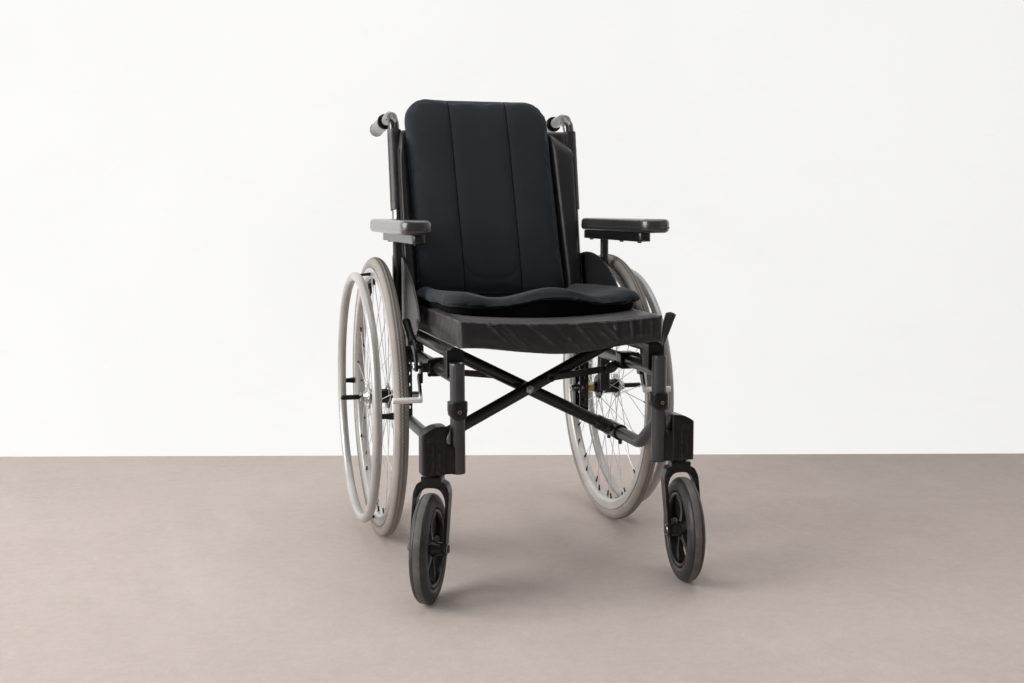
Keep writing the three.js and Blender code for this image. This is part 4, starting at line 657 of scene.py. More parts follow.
# ---------------------------------------------------------------- rear wheels
def rear_wheel(side, sign):
    body = "wheel_" + side
    centre = Vector((sign * WHEEL_X, AXLE_Y, AXLE_Z))

    def outward(profile):
        return [(sign * across, radius) for across, radius in profile]

    half = 14 * MM
    ring = 291 * MM
    bed = acos(-(half - 1.3 * MM) / half)
    segments = 512
    crown = [0.0, 1.5, 3.0, 4.5, 6.0]
    start = asin(crown[-1] * MM / half)
    turns = [asin(a * MM / half) for a in crown]
    turns += [start + (bed - start) * k / 10 for k in range(1, 11)]
    profile = [-turn for turn in reversed(turns[1:])] + turns
    groove = {1.5: (1.3, 0.0), 3.0: (0.9, 0.9), 4.5: (0.0, 1.3)}
    points = []
    for turn in profile:
        across, radius = half * sin(turn), ring + half * cos(turn)
        depth = groove.get(round(abs(across) / MM, 2), (0.0, 0.0)) if radius > ring else (0.0, 0.0)
        for i in range(segments):
            angle = 2 * pi * i / segments
            r = radius - depth[i % 2] * MM
            points.append(centre + Vector((sign * across, r * sin(angle), r * cos(angle))))
    tyre = new_piece("rear_tyre_" + side + "_skin", points, ring_faces(len(profile), segments, loop=True),
            "tyre_grey", body, sharp=80)
    # The zigzag's groove faces take the painted groove shade.
    tyre.data.materials.append(MORE_LOOKS["tread"])
    middle_row = len(turns) - 1
    for row, odd in ((middle_row + 1, 0), (middle_row + 2, 1), (middle_row - 2, 0), (middle_row - 3, 1)):
        for i in range(odd, segments, 2):
            tyre.data.polygons[row * segments + i].material_index = 1
    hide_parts("rear_tyre_" + side)

    rim = turned("rear_rim_" + side + "_skin", outward([(12.8, 281.2), (12.3, 282.0), (11.2, 281.6),
            (11.0, 278.0), (-11.0, 278.0), (-11.2, 281.6), (-12.3, 282.0), (-12.8, 281.2), (-12.8, 268.4),
            (-12.2, 265.4), (-10.2, 261.2), (-7.0, 258.6), (-3.0, 258.0), (3.0, 258.0), (7.0, 258.6),
            (10.2, 261.2), (12.2, 265.4), (12.8, 268.4)]), centre, "rim_alloy", body, segments=180,
            closed=True, sharp=28)
    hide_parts("rear_rim_" + side)

    hoop = []
    for k in range(20):
        turn = 2 * pi * k / 20
        hoop.append((sign * (44 + 9.9 * cos(turn)), 263 + 9.9 * sin(turn)))
    rim_hoop = turned("handrim_" + side + "_skin", hoop, centre, "rim_alloy", body, MORE_LOOKS["hand_rim"],
            segments=220, closed=True)
    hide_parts("handrim_" + side)
    tabs = []
    for k in range(4):
        turn = Matrix.Rotation(2 * pi * k / 4, 4, "X")
        outline = [(13.1, 264.6), (13.1, 272.0), (19, 271.4), (28, 270.4), (36.2, 269.2), (34.6, 262.4),
                (28, 264.6), (19, 265.0)]
        points = []
        for half in (-7 * MM, 7 * MM):
            for across, radius in outline:
                narrow = 1 if across < 16 else 0.75
                points.append(centre + turn @ Vector((sign * across * MM, half * narrow, radius * MM)))
        count = len(outline)
        faces = [tuple(range(count)), tuple(range(2 * count - 1, count - 1, -1))]
        faces += [(i, (i + 1) % count, count + (i + 1) % count, count + i) for i in range(count)]
        tabs.append(new_piece("tab", points, faces, "black_plastic"))
    rounded(merged("hand_rim_tabs_" + side, tabs, body), 1.2 * MM, 3, 30)

    laced_spokes(side, sign, body, centre)
    hub = turned("rear_hub_" + side + "_skin", outward([(-34.3, 7.2), (-34.3, 10.6), (-32.8, 11.4),
            (-26.5, 13.5), (-24.4, 15.5), (-23.6, 27.2), (-23.2, 27.6), (-20.8, 27.6), (-20.4, 27.2),
            (-19.6, 17.5), (-15.0, 15.6), (15.0, 15.6), (19.6, 17.5), (20.4, 27.2), (20.8, 27.6),
            (23.2, 27.6), (23.6, 27.2), (24.4, 15.5), (27.0, 13.0), (32.0, 11.2), (32.9, 10.4),
            (32.9, 7.2)]), centre, "black_plastic", body, segments=48, closed=True, sharp=25)
    second_look(hub, LOOKS["bright_steel"], lambda at: sign * (at.x - centre.x) > 19.0 * MM)
    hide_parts("rear_hub_" + side)
    valve = Vector((0, sin(0.35), cos(0.35)))
    start = centre + valve * 258.2 * MM
    turned("valve_" + side, [(0, 0.1), (0, 2.6), (8, 2.6), (9, 3.4), (22, 3.4), (24, 2.4), (24.5, 0.1)],
            start, "black_plastic", body, segments=16, axis=-valve)


def laced_spokes(side, sign, body, centre):
    """Thirty-six crossed spokes with their nipples, laced as in the frame."""
    bars, nipples, heads = [], [], []
    for i in range(36):
        rim_angle = 2 * pi * i / 36
        way = 1 if (i // 2) % 2 == 0 else -1
        hub_angle = rim_angle + way * radians(52)
        flange = (-22 if i % 2 == 0 else 22) + way * 1.6
        at_rim = (-4 if i % 2 == 0 else 4) + way * 1.6
        start = centre + Vector((sign * flange * MM, 24 * MM * cos(hub_angle), 24 * MM * sin(hub_angle)))
        end = centre + Vector((sign * at_rim * MM, 257.8 * MM * cos(rim_angle),
                257.8 * MM * sin(rim_angle)))
        ahead = (end - start).normalized()
        bars.append(swept("spoke", [start, end], 0.80 * MM, "bright_steel", look=MORE_LOOKS["spoke"],
                segments=6))
        nipples.append(swept("nipple", [end - ahead * 13 * MM, end - ahead * 11 * MM, end - ahead * 2 * MM,
                end], [1.3 * MM, 1.9 * MM, 2.1 * MM, 2.7 * MM], "bright_steel", look=LOOKS["black_plastic"],
                segments=8))
        out = Vector((sign * (1 if flange > 0 else -1) * (2.4 if way * flange > 0 else -1.8) * MM, 0, 0))
        heads.append(swept("head", [start + out * 0.4, start + out], [1.9 * MM, 1.1 * MM], "bright_steel",
                segments=8))
    merged("spokes_" + side, bars + heads, body)
    merged("nipples_" + side, nipples, body)


# ---------------------------------------------------------------- casters
def caster(side, sign):
    turn = Matrix.Rotation(-SWIVEL[side], 4, "Z")
    place = Matrix.Translation((sign * STEM_X, STEM_Y, 0)) @ turn
    place = place @ Matrix.Translation((0, -TRAIL, CASTER_RADIUS))
    axis = place.to_3x3() @ Vector((1, 0, 0))
    centre = place.translation
    body = "caster_wheel_" + side
    half = [(8.8, 73.0), (12.5, 74.0), (15.2, 76.6), (16.2, 80.5), (16.2, 84.5), (15.4, 89.5), (13.2, 94.0),
            (10.4, 97.2), (8.2, 98.6), (7.4, 98.9), (7.0, 98.5), (6.4, 98.5), (6.0, 99.4), (3.0, 99.95),
            (0.0, 100.0)]
    profile = [(-a, r) for a, r in half] + half[-2::-1]
    tyre = turned("caster_tyre_" + side + "_skin", profile, centre, "caster_tyre", body, segments=160,
            axis=axis, closed=True, sharp=50)

    def on_tread(at):
        return abs((at - centre).dot(axis)) < 6.6 * MM and (at - centre).length > 90 * MM

    second_look(tyre, MORE_LOOKS["band"], on_tread)
    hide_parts("caster_tyre_" + side)

    parts = []
    bed = [(-13, 71.8), (-13.6, 70), (-13, 66.2), (-11.5, 65.2), (-4, 64.2), (4, 64.2), (11.5, 65.2),
            (13, 66.2), (13.6, 70), (13, 71.8)]
    parts.append(turned("bed", bed, (0, 0, 0), "black_plastic", segments=96, closed=True, sharp=30))
    hub = [(-27, 4.6), (-27, 9.5), (-25.5, 11), (-14, 12.5), (-9, 16), (9, 16), (14, 12.5), (25.5, 11),
            (27, 9.5), (27, 4.6)]
    parts.append(turned("boss", hub, (0, 0, 0), "black_plastic", segments=40, closed=True, sharp=30))
    for k in range(5):
        spin = 2 * pi * k / 5
        points = []
        stations = 10
        for s in range(stations):
            t = s / (stations - 1)
            radius = (13 + 53.5 * t) * MM
            lean = spin + 0.42 * t * t
            width = (7.5 - 9.0 * t * (1 - t) * 1.4 + 1.5 * t) * MM
            deep = (8.5 - 3.5 * sin(pi * t)) * MM
            out = Vector((0, sin(lean), cos(lean)))
            flat = Vector((0, cos(lean), -sin(lean)))
            for a, b in ((-1, -1), (1, -1), (1, 1), (-1, 1)):
                points.append(out * radius + flat * width * b + Vector((deep * a, 0, 0)))
        parts.append(new_piece("arm", points, ring_faces(stations, 4), "black_plastic"))
    rim = merged("caster_rim_" + side + "_skin", parts)
    rim.data.transform(place)
    rounded(rim, 1.0 * MM, 2, 40)
    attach(rim, body)
    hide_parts("caster_rim_" + side)

    refined("caster_fork_" + side, 1.2, 3)
    for way in (-1, 1):
        face = place @ Vector((way * 34.3 * MM, 0, 0))
        turned("axle_washer_%s_%s" % (side, "in" if way < 0 else "out"),
                [(0, 4.2), (0, 9.6), (1.0, 9.9), (1.6, 9.4), (1.6, 4.2)], face, "bright_steel",
                "caster_fork_" + side, segments=28, axis=axis * way, closed=True)
    stem_collar = place @ Vector((0, TRAIL, 0.1272))
    turned("stem_seal_" + side, [(0, 12.4), (0.2, 14.4), (2.0, 14.8), (3.2, 14.0), (3.2, 12.4)],
            stem_collar, "black_plastic", "caster_fork_" + side, segments=32, axis=(0, 0, 1), closed=True)


# ---------------------------------------------------------------- soft goods
def grid_solid(name, columns, rows, layers, form, slot, look=None):
    """A closed block of quads whose points are moved by form(u, v, w), each from -1 to 1."""
    mesh = bpy.data.meshes.new(name)
    block = bmesh.new()
    spots = {}

    def spot(i, j, k):
        if (i, j, k) not in spots:
            u, v, w = 2 * i / columns - 1, 2 * j / rows - 1, 2 * k / layers - 1
            spots[i, j, k] = block.verts.new(form(u, v, w))
        return spots[i, j, k]

    for i in range(columns):
        for j in range(rows):
            block.faces.new([spot(i, j, layers), spot(i + 1, j, layers), spot(i + 1, j + 1, layers),
                    spot(i, j + 1, layers)])
            block.faces.new([spot(i, j + 1, 0), spot(i + 1, j + 1, 0), spot(i + 1, j, 0), spot(i, j, 0)])
    for i in range(columns):
        for k in range(layers):
            block.faces.new([spot(i, 0, k), spot(i + 1, 0, k), spot(i + 1, 0, k + 1), spot(i, 0, k + 1)])
            block.faces.new([spot(i, rows, k + 1), spot(i + 1, rows, k + 1), spot(i + 1, rows, k),
                    spot(i, rows, k)])
    for j in range(rows):
        for k in range(layers):
            block.faces.new([spot(0, j, k + 1), spot(0, j + 1, k + 1), spot(0, j + 1, k), spot(0, j, k)])
            block.faces.new([spot(columns, j, k), spot(columns, j + 1, k), spot(columns, j + 1, k + 1),
                    spot(columns, j, k + 1)])
    bmesh.ops.recalc_face_normals(block, faces=block.faces)
    block.to_mesh(mesh)
    block.free()
    mesh.materials.append(look or LOOKS[slot])
    piece = placed(name, mesh)
    piece.data.shade_smooth()
    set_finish(piece, slot)
    return piece


def settled(piece):
    """Applies the piece's modifiers to its mesh."""
    graph = bpy.context.evaluated_depsgraph_get()
    mesh = bpy.data.meshes.new_from_object(piece.evaluated_get(graph))
    piece.modifiers.clear()
    piece.data = mesh
    piece.data.shade_smooth()
    return piece


def inflated(piece, voxel, pressure, cap):
    """Fills a cloth skin with air for a moment, and lets no point move farther than cap."""
    if voxel:
        remesh = piece.modifiers.new("even skin", "REMESH")
        remesh.mode = "VOXEL"
        remesh.voxel_size = voxel
        settled(piece)
    start = [v.co.copy() for v in piece.data.vertices]
    cloth = piece.modifiers.new("cloth", "CLOTH")
    for setting, value in (("quality", 5), ("mass", 0.3), ("tension_stiffness", 25),
            ("compression_stiffness", 25), ("use_pressure", True), ("uniform_pressure_force", pressure)):
        setattr(cloth.settings, setting, value)
    cloth.settings.effector_weights.gravity = 0
    cloth.point_cache.frame_start, cloth.point_cache.frame_end = 1, BREATH
    for step in range(1, BREATH + 1):
        bpy.context.scene.frame_set(step)
    graph = bpy.context.evaluated_depsgraph_get()
    swollen = [v.co.copy() for v in piece.evaluated_get(graph).data.vertices]
    piece.modifiers.remove(cloth)
    for vertex, old, new in zip(piece.data.vertices, start, swollen):
        move = new - old
        if move.length > cap:
            move = move.normalized() * cap
        vertex.co = old + move
    bpy.context.scene.frame_set(1)


def crisp_edges(piece, angle, crease):
    """Keeps edges sharper than the angle from melting away when the piece is subdivided."""
    with editing(piece.data) as work:
        layer = work.edges.layers.float.new("crease_edge")
        for edge in work.edges:
            if len(edge.link_faces) == 2 and edge.calc_face_angle(0) > radians(angle):
                edge[layer] = crease


def subdivided(piece):
    sub = piece.modifiers.new("finer", "SUBSURF")
    sub.levels = sub.render_levels = 1
    return settled(piece)


def moved(piece, change):
    """Moves each point of the mesh by change(point)."""
    for vertex in piece.data.vertices:
        vertex.co = change(vertex.co.copy())
    piece.data.update()


def rounded_plan(u, v, half_width, half_length, radius):
    """A point of a rectangle with round corners, from its place on a square that reaches from -1 to 1."""
    reach = max(abs(u), abs(v), 1e-6)
    x, y = u / reach * half_width, v / reach * half_length
    over_x, over_y = abs(x) - (half_width - radius), abs(y) - (half_length - radius)
    if over_x > 0 and over_y > 0:
        away = hypot(over_x, over_y)
        x = copysign(half_width - radius + over_x / away * radius, x)
        y = copysign(half_length - radius + over_y / away * radius, y)
    return x * reach, y * reach


def once_round(count):
    """Places along the edge of a square that reaches from -1 to 1."""
    for i in range(count):
        angle = 2 * pi * i / count
        u, v = cos(angle), sin(angle)
        reach = max(abs(u), abs(v))
        yield u / reach, v / reach


def laid_on(piece, path, lift, toward=None):
    """Moves points to the piece's skin, along toward or else to the nearest place, and off it by lift."""
    tree = BVHTree.FromPolygons([v.co for v in piece.data.vertices],
            [tuple(p.vertices) for p in piece.data.polygons])
    laid = []
    for point in path:
        place = tree.ray_cast(Vector(point), toward)[0] if toward else None
        if place:
            laid.append(place - toward * lift)
        elif not toward:
            place, normal, _, _ = tree.find_nearest(Vector(point))
            laid.append(place + normal * lift)
    return laid


def bump_at(away, width):
    return exp(-(away / width) ** 2)


def sling_underside(x):
    share = min(abs(x) / SIDE_X, 1)
    return RAIL_TOP + LIE_GAP - SLING_SAG * (1 - share * share) ** 2


def box_top(x):
    share = min(abs(x) / 0.199, 1)
    return RAIL_TOP + LIE_GAP + 0.0025 + BOX_HEIGHT - BOX_HOLLOW * (1 - share * share)


def ride_seat(piece):
    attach(piece, "seat")
    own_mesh(piece)


FRONT_FOLDS = ((-0.160, 1.35, 3.8, 4.2), (-0.128, 1.30, 3.6, 3.2), (-0.074, 1.45, 4.0, 3.2),
        (-0.020, 1.10, 3.6, 3.8), (0.022, 0.85, 3.4, 4.2), (0.045, 1.2, 5.0, 2.4), (0.073, 0.90, 3.4, 4.2),
        (0.102, 0.05, 3.4, 3.8), (0.134, 0.02, 3.4, 4.2), (0.154, -0.05, 3.0, 3.0), (0.172, 0.0, 3.0, 2.4))
FLANK_FOLDS = ((-0.215, 0.2, 5.0, 2.0), (-0.185, 0.5, 5.0, 2.3), (-0.150, 0.35, 6.0, 1.9),
        (-0.110, 0.1, 5.0, 2.1), (-0.060, -0.3, 6.0, 1.7), (-0.010, 0.2, 7.0, 1.9), (0.050, 0.3, 6.0, 1.7),
        (0.110, -0.2, 7.0, 1.9), (0.170, 0.1, 6.0, 1.6))


def folds_at(table, place, depth, fade):
    """How far cloth stands out at folds, each with a start, a lean, and a width and height in millimetres."""
    rise = 0.0
    for start, lean, width, height in table:
        away = (place - start - lean * depth) / (width * MM)
        rise += height * MM * (bump_at(away, 1.0) - 0.7 * bump_at(away - 1.6, 1.0))
    return rise * fade


def box_cushion():
    """The nylon-covered foam box that lies on the sling."""
    middle = AXLE_Y - 0.256
    half_width, half_length = 0.1985, 0.2445

    def form(u, v, w):
        x, y = rounded_plan(u, v, half_width, half_length, 0.007)
        bottom = sling_underside(x) + 0.0030
        top = box_top(x) - 0.0012
        return Vector((x, middle + y, between(bottom, top, w)))

    piece = grid_solid("box_cushion", 96, 64, 10, form, "nylon_cloth")
    crisp_edges(piece, 50, 0.75)
    inflated(piece, 0, 1.6, 0.0022)
    subdivided(piece)

    def wrinkle(p):
        y = p.y - middle
        height = clamp((p.z - sling_underside(p.x) - 0.002) / 0.056)
        depth = (1 - height) * 0.056
        fade = clamp((1 - height) * 7) * clamp(height * 2.2)
        front = clamp((-y - half_length + 0.0035) / 0.0025)
        flank = clamp((abs(p.x) - half_width + 0.0035) / 0.0025)
        soft = 0.0008 * noise.noise(Vector((p.x * 30, p.z * 40, 3)))
        p.y -= front * (folds_at(FRONT_FOLDS, p.x, depth, fade) - soft)
        crease = 0.0010 * noise.noise(Vector((y * 34, p.z * 46, 7)))
        p.x += copysign(flank * (folds_at(FLANK_FOLDS, y, depth, fade) + crease), p.x)
        p.z += 0.0010 * noise.noise(Vector((p.x * 16, y * 16, 2))) * (1 - front) * (1 - flank)
        return p

    moved(piece, wrinkle)
    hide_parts("seat_cushion")
    ride_seat(piece)
    path = []
    for u, v in once_round(320):
        x, y = rounded_plan(u, v, half_width + 0.002, half_length + 0.002, 0.008)
        path.append((x, middle + y, box_top(x) - 0.0045))
    ride_seat(swept("cushion_seam", laid_on(piece, path, 0.0), 0.0008, "nylon_cloth", segments=6,
            cyclic=True))


def pad_wave(u):
    """One on the pommel's line and on the flanks, nothing in the two troughs between them."""
    return (1 + cos(pi * min(abs(u * PAD_HALF - PAD_MIDDLE), 0.205) / TROUGH_REACH)) / 2


def on_lobe(u):
    return abs(u * PAD_HALF - PAD_MIDDLE) > TROUGH_REACH


def pad_top(u, v):
    """How high the pad stands over the cushion: lobes and a pommel in front, a hollow behind them."""
    front = 0.034 + ((0.045 if on_lobe(u) else 0.056) - 0.034) * pad_wave(u)
    hollow = 0.013 + 0.027 * min(1.0, abs(u)) ** 4
    share = 1 - cos(pi * min(1.0, (1 + v) / 1.3)) if v < 0.3 else 2.0
    return front + (hollow - front) * share / 2


def pad_plan(u, v, shrink):
    x, y = rounded_plan(u, v, PAD_HALF - shrink, PAD_HALF - shrink, 0.066)
    scallop = 0.016 * (1 - v) / 2 * (1 - pad_wave(x / PAD_HALF))
    return x, AXLE_Y - 0.228 + y + scallop * (1 - v) / 2


def pad_floor(x):
    return box_top(min(abs(x), 0.199)) + 0.0008


def lip_height(u, v):
    """How high the seam under the pad's lip runs over the cushion."""
    front = 0.0185 + ((0.022 if on_lobe(u) else 0.041) - 0.0185) * pad_wave(u)
    return min(front + (0.012 - front) * ((1 + v) / 2) ** 0.8, pad_top(u, v) - 0.009)


def contoured_pad():
    """The shaped pad: a stretch cover with a rolled lip over a base that stands back under it, near-black as
    painted shade.
    """

    def top_form(u, v, w):
        x, y = pad_plan(u, v, 0.0035 + 0.011 * ((w + 1) / 2) ** 2)
        low = lip_height(u, v)
        high = pad_top(u, v) - 0.0025 - 0.004 * max(abs(u), abs(v)) ** 10
        return Vector((x, y, pad_floor(x) + between(low, high, w)))

    def base_form(u, v, w):
        x, y = pad_plan(u, v, 0.017)
        return Vector((x, y, pad_floor(x) + 0.0004 + (w + 1) / 2 * (lip_height(u, v) + 0.0025)))

    top = grid_solid("pad_top", 60, 60, 4, top_form, "stretch_cloth")
    inflated(top, 0.0046, 3.2, 0.0055)
    subdivided(top)

    def pucker(p):
        front = clamp((AXLE_Y - 0.400 - p.y) / 0.02)
        under = clamp((pad_floor(p.x) + 0.036 - p.z) / 0.014)
        for start in (0.088, 0.101, 0.114, 0.126, -0.108, -0.094):
            away = (p.x - start + 0.9 * (p.z - 0.53)) / 0.0032
            p.y -= 0.0016 * front * under * (bump_at(away, 1.0) - 0.5 * bump_at(away - 1.5, 1.0))
        return p

    moved(top, pucker)
    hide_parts("seat_pad")
    ride_seat(top)
    # The base takes the near-black painted-shade cloth.
    base = subdivided(grid_solid("pad_base", 44, 44, 3, base_form, "nylon_cloth", MORE_LOOKS["shaded"]))
    ride_seat(base)
    path = []
    for u, v in once_round(300):
        x, y = pad_plan(u, v, -0.004)
        path.append((x, y, pad_floor(x) + lip_height(u, v) + 0.0045))
    ride_seat(swept("pad_seam", laid_on(top, path, 0.0001), 0.0009, "stretch_cloth", segments=6,
            cyclic=True))


def on_back(x, forward, along):
    """A point on the reclined back: forward is towards the sitter, along runs up the posts."""
    return Vector((x, POST_Y - forward * cos(RECLINE) + along * sin(RECLINE),
            POST_Z + forward * sin(RECLINE) + along * cos(RECLINE)))


def ride_back(piece):
    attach(piece, "frame_right")
    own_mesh(piece)


def back_cushion():
    """The removable back cushion: a stretch cover sewn in three upright panels, hung a little askew."""
    low, high = (0.514 - POST_Z) / cos(RECLINE), (0.957 - POST_Z) / cos(RECLINE)
    half = (high - low) / 2
    lean, roll = tan(radians(-2.8)), tan(radians(0.5))
    shift = -0.0128

    def place(x, forward, along):
        return on_back(x + (along - x * roll) * lean + shift, forward, along - x * roll + low + half)

    def form(u, v, w):
        x, along = rounded_plan(u, v, 0.1705, half - 0.001, 0.060 if v > 0 else 0.026)
        x *= 1 - CUSHION_TAPER * v
        thick = 0.0285 * (1 - 0.42 * max(abs(u), abs(v)) ** 6)
        return place(x, 0.0150 + (w + 1) / 2 * thick, along)

    piece = grid_solid("back_cushion_skin", 48, 56, 4, form, "stretch_cloth", MORE_LOOKS["back_cloth_painted_lighter"])
    inflated(piece, 0.0050, 2.8, 0.006)
    subdivided(piece)

    def panel_place(p):
        along = (p.z - POST_Z) * cos(RECLINE) + (p.y - POST_Y) * sin(RECLINE) - low - half
        forward = (p.z - POST_Z) * sin(RECLINE) - (p.y - POST_Y) * cos(RECLINE)
        x = p.x - shift - along * lean
        return x, forward, along + x * roll

    def sewn(p):
        x, forward, along = panel_place(p)
        front = clamp((forward - 0.024) / 0.008)
        dip = 0.0
        for side in (-1, 1):
            away = x - side * PANEL_SEAM_X
            dip += 0.0020 * bump_at(away, 0.0036) + 0.0022 * bump_at(away, 0.011)
        if abs(x) < PANEL_SEAM_X:
            arc = along + half - 0.038 - 0.034 * (x / PANEL_SEAM_X) ** 4
            dip += 0.0011 * bump_at(arc, 0.006)
        p.y += dip * front * cos(RECLINE)
        p.z -= dip * front * sin(RECLINE)
        return p

    moved(piece, sewn)
    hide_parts("back_cushion")
    ride_back(piece)
    for side, sign in SIDES:
        line = [place(sign * PANEL_SEAM_X, 0.090, (t / 90 - 0.5) * 2 * (half - 0.001)) for t in range(91)]
        backward = (on_back(0, 0, 0) - on_back(0, 1, 0)).normalized()
        # The panel seams take the near-black painted-shade cloth: the seam line and the shade in its groove.
        ride_back(swept("panel_seam_" + side, laid_on(piece, line, 0.0001, backward), 0.0007,
                "stretch_cloth", look=MORE_LOOKS["shaded"], segments=6))
    rim = []
    for u, v in once_round(300):
        x, along = rounded_plan(u, v, 0.178, half + 0.006, 0.062 if v > 0 else 0.030)
        rim.append(place(x * (1 - CUSHION_TAPER * v), 0.0190, along))
    ride_back(swept("back_cushion_seam", laid_on(piece, rim, 0.0), 0.0009, "stretch_cloth",
            look=MORE_LOOKS["back_cloth_painted_lighter"], segments=6, cyclic=True))


def back_upholstery():
    """The back sling's panel with its side bolsters, and a sleeve round each post."""
    low, high = (0.488 - POST_Z) / cos(RECLINE), (0.888 - POST_Z) / cos(RECLINE)

    def panel_form(u, v, w):
        x = u * PANEL_REACH
        along = between(low, high, v)
        sag = 0.0022 * (1 - u * u) * sin(pi * (v + 1) / 2)
        return on_back(x, 0.0055 + (w + 1) / 2 * 0.0075 - sag, along)

    panel = subdivided(grid_solid("back_panel", 26, 30, 1, panel_form, "nylon_cloth"))
    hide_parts("back_sling")
    ride_back(panel)
    for side, sign in SIDES:
        inner_low, inner_high = (0.180, 0.1955) if sign < 0 else (0.1745, 0.150)
        outer = 0.2025

        def bolster_form(u, v, w, sign=sign, inner_low=inner_low, inner_high=inner_high, outer=outer):
            inner = between(inner_low, inner_high, v)
            x = between(inner, outer, u)
            top = 0.404 - 0.036 * (x - inner) / (outer - inner)
            along = between(0.030, top, v)
            edge = 1 - 0.55 * abs(v) ** 14 - 0.22 * abs(u) ** 8
            return on_back(sign * x, 0.0160 + (w + 1) / 2 * 0.027 * edge, along)

        bolster = grid_solid("side_bolster_" + side, 8, 60, 6, bolster_form, "nylon_cloth")
        crisp_edges(bolster, 50, 0.35)
        subdivided(bolster)
        ride_back(bolster)
        ribs = []
        for k in range(84):
            along = 0.040 + 0.324 * k / 83
            ribs.append(swept("rib", [on_back(sign * (outer + 0.0006), 0.0170, along),
                    on_back(sign * (outer + 0.0010), 0.0260, along + 0.001),
                    on_back(sign * (outer + 0.0006), 0.0345, along)], 0.0009, "nylon_cloth",
                    look=MORE_LOOKS["mesh"], segments=5))
        ride_back(merged("bolster_ribs_" + side, ribs))
        edge_line = [on_back(sign * (outer - 0.0004), 0.0370, 0.036 + 0.328 * k / 60) for k in range(61)]
        ride_back(swept("bolster_piping_" + side, edge_line, 0.0017, "nylon_cloth", look=MORE_LOOKS["mesh"],
                segments=8))
        radius = 0.0125 + 0.0031
        start, end = (0.711 - POST_Z) / cos(RECLINE), (0.889 - POST_Z) / cos(RECLINE)
        points = []
        rings, around = 26, 36
        for layer in (0, 1):
            for k in range(rings):
                t = k / (rings - 1)
                for i in range(around):
                    angle = 2 * pi * i / around
                    ruck = 0.0004 * noise.noise(Vector((cos(angle) * 2, sin(angle) * 2, t * 14 + sign * 5)))
                    r = (radius + ruck) if layer == 0 else 0.0130
                    points.append(on_back(sign * POST_X + r * cos(angle), r * sin(angle),
                            start + (end - start) * t))
        faces = ring_faces(rings, around, closed_ends=False)
        count = rings * around
        faces += [tuple(count + v for v in face[::-1]) for face in ring_faces(rings, around,
                closed_ends=False)]
        for i in range(around):
            j = (i + 1) % around
            faces.append((j, i, count + i, count + j))
            faces.append((count - around + i, count - around + j, 2 * count - around + j,
                    2 * count - around + i))
        new_piece("post_sleeve_" + side, points, faces, "nylon_cloth", "frame_" + side, sharp=50)


def seat_sling():
    def form(u, v, w):
        x = u * 0.1975
        y = AXLE_Y - 0.240 + v * 0.2195
        return Vector((x, y, sling_underside(x) + 0.0001 + (w + 1) / 2 * 0.0018))

    piece = subdivided(grid_solid("sling_cloth", 24, 20, 1, form, "nylon_cloth"))
    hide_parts("seat_sling")
    ride_seat(piece)


def corner_flap():
    """The loose cloth tab that stands off the cushion's front corner on the sitter's left."""
    points, faces = [], []
    columns, rows = 6, 16
    for j in range(rows + 1):
        t = j / rows
        width = 0.006 + 0.018 * t ** 0.7
        lean = 0.007 * t ** 1.5
        for i in range(columns + 1):
            s = i / columns
            round_top = 0.004 * (2 * s - 1) ** 2 * t ** 6
            x = 0.2012 + lean + s * width
            y = AXLE_Y - 0.488 + 0.010 * s + 0.003 * sin(2.4 * s + 3 * t)
            z = 0.455 + 0.064 * t - 0.004 * s - round_top
            points.append((x, y, z))
    for j in range(rows):
        for i in range(columns):
            a = j * (columns + 1) + i
            faces.append((a, a + 1, a + columns + 2, a + columns + 1))
    piece = new_piece("corner_flap", points, faces, "nylon_cloth")
    thick = piece.modifiers.new("thickness", "SOLIDIFY")
    thick.thickness = 0.0018
    settled(piece)
    ride_seat(piece)


# ---------------------------------------------------------------- frame details
def armrest(side, sign):
    body = "armrest_" + side
    pad = refined("armrest_pad_" + side, 0.0)
    smooth(pad, 60)
    low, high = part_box("armrest_pad_" + side)
    middle = (low + high) / 2
    path = []
    for i in range(140):
        angle = 2 * pi * i / 140
        cx, cy = cos(angle), sin(angle)
        u, v = copysign(abs(cx) ** 0.45, cx), copysign(abs(cy) ** 0.16, cy)
        reach = max(abs(u), abs(v))
        narrow = 1 - 0.16 * abs(v / reach) ** 14 * abs(u / reach) ** 2
        x = middle.x + u / reach * (high.x - low.x) / 2 * narrow
        y = middle.y + v / reach * (high.y - low.y) / 2 * (1 - 0.016 * abs(u / reach) ** 6)
        path.append((x, y, low.z + 0.0105))
    swept("armrest_seam_" + side, path, 0.0011, "pad_vinyl", body, segments=6, cyclic=True)
    refined("armrest_frame_" + side, 1.6, 3)
    for k, y in enumerate((-0.150, -0.045, 0.060, 0.150)):
        bolt_head("armrest_screw_%s_%d" % (side, k), (sign * 0.2329, y, 0.6459), (0, 0, -1), 4.6, 3.2,
                body=body)
    for k, z in enumerate((0.5, 0.56)):
        bolt_head("post_button_%s_%d" % (side, k), (sign * 0.2420, AXLE_Y - 0.070, z), (sign, 0, 0), 3.2,
                1.6, slot="bright_steel", body=body)


def handle(side, sign):
    refined("back_post_" + side, 0.4, look=MORE_LOOKS["chrome"])
    refined("push_grip_" + side, 1.1, 3)
    low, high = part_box("push_grip_" + side)
    way = Vector((0, 1, -GRIP_FALL)).normalized()

    def on_grip(y):
        return Vector((sign * POST_X, y, GRIP_Z - GRIP_FALL * (y - AXLE_Y - 0.160)))

    turned("grip_ring_" + side, [(-4.5, 12.8), (-4.5, 17.0), (-3.6, 18.0), (0.2, 18.2), (1.2, 17.4),
            (1.2, 16.3), (-0.6, 16.2), (-0.6, 12.8)], on_grip(low.y + 0.0015), "black_plastic",
            "frame_" + side, segments=40, axis=way, closed=True)
    turned("grip_end_" + side, [(-5, 15.2), (-4, 16.6), (-0.5, 16.4), (1.6, 14.6), (2.6, 10.5), (3.0, 0.1)],
            on_grip(high.y - 0.0002), "black_plastic", "frame_" + side, segments=40, axis=way)


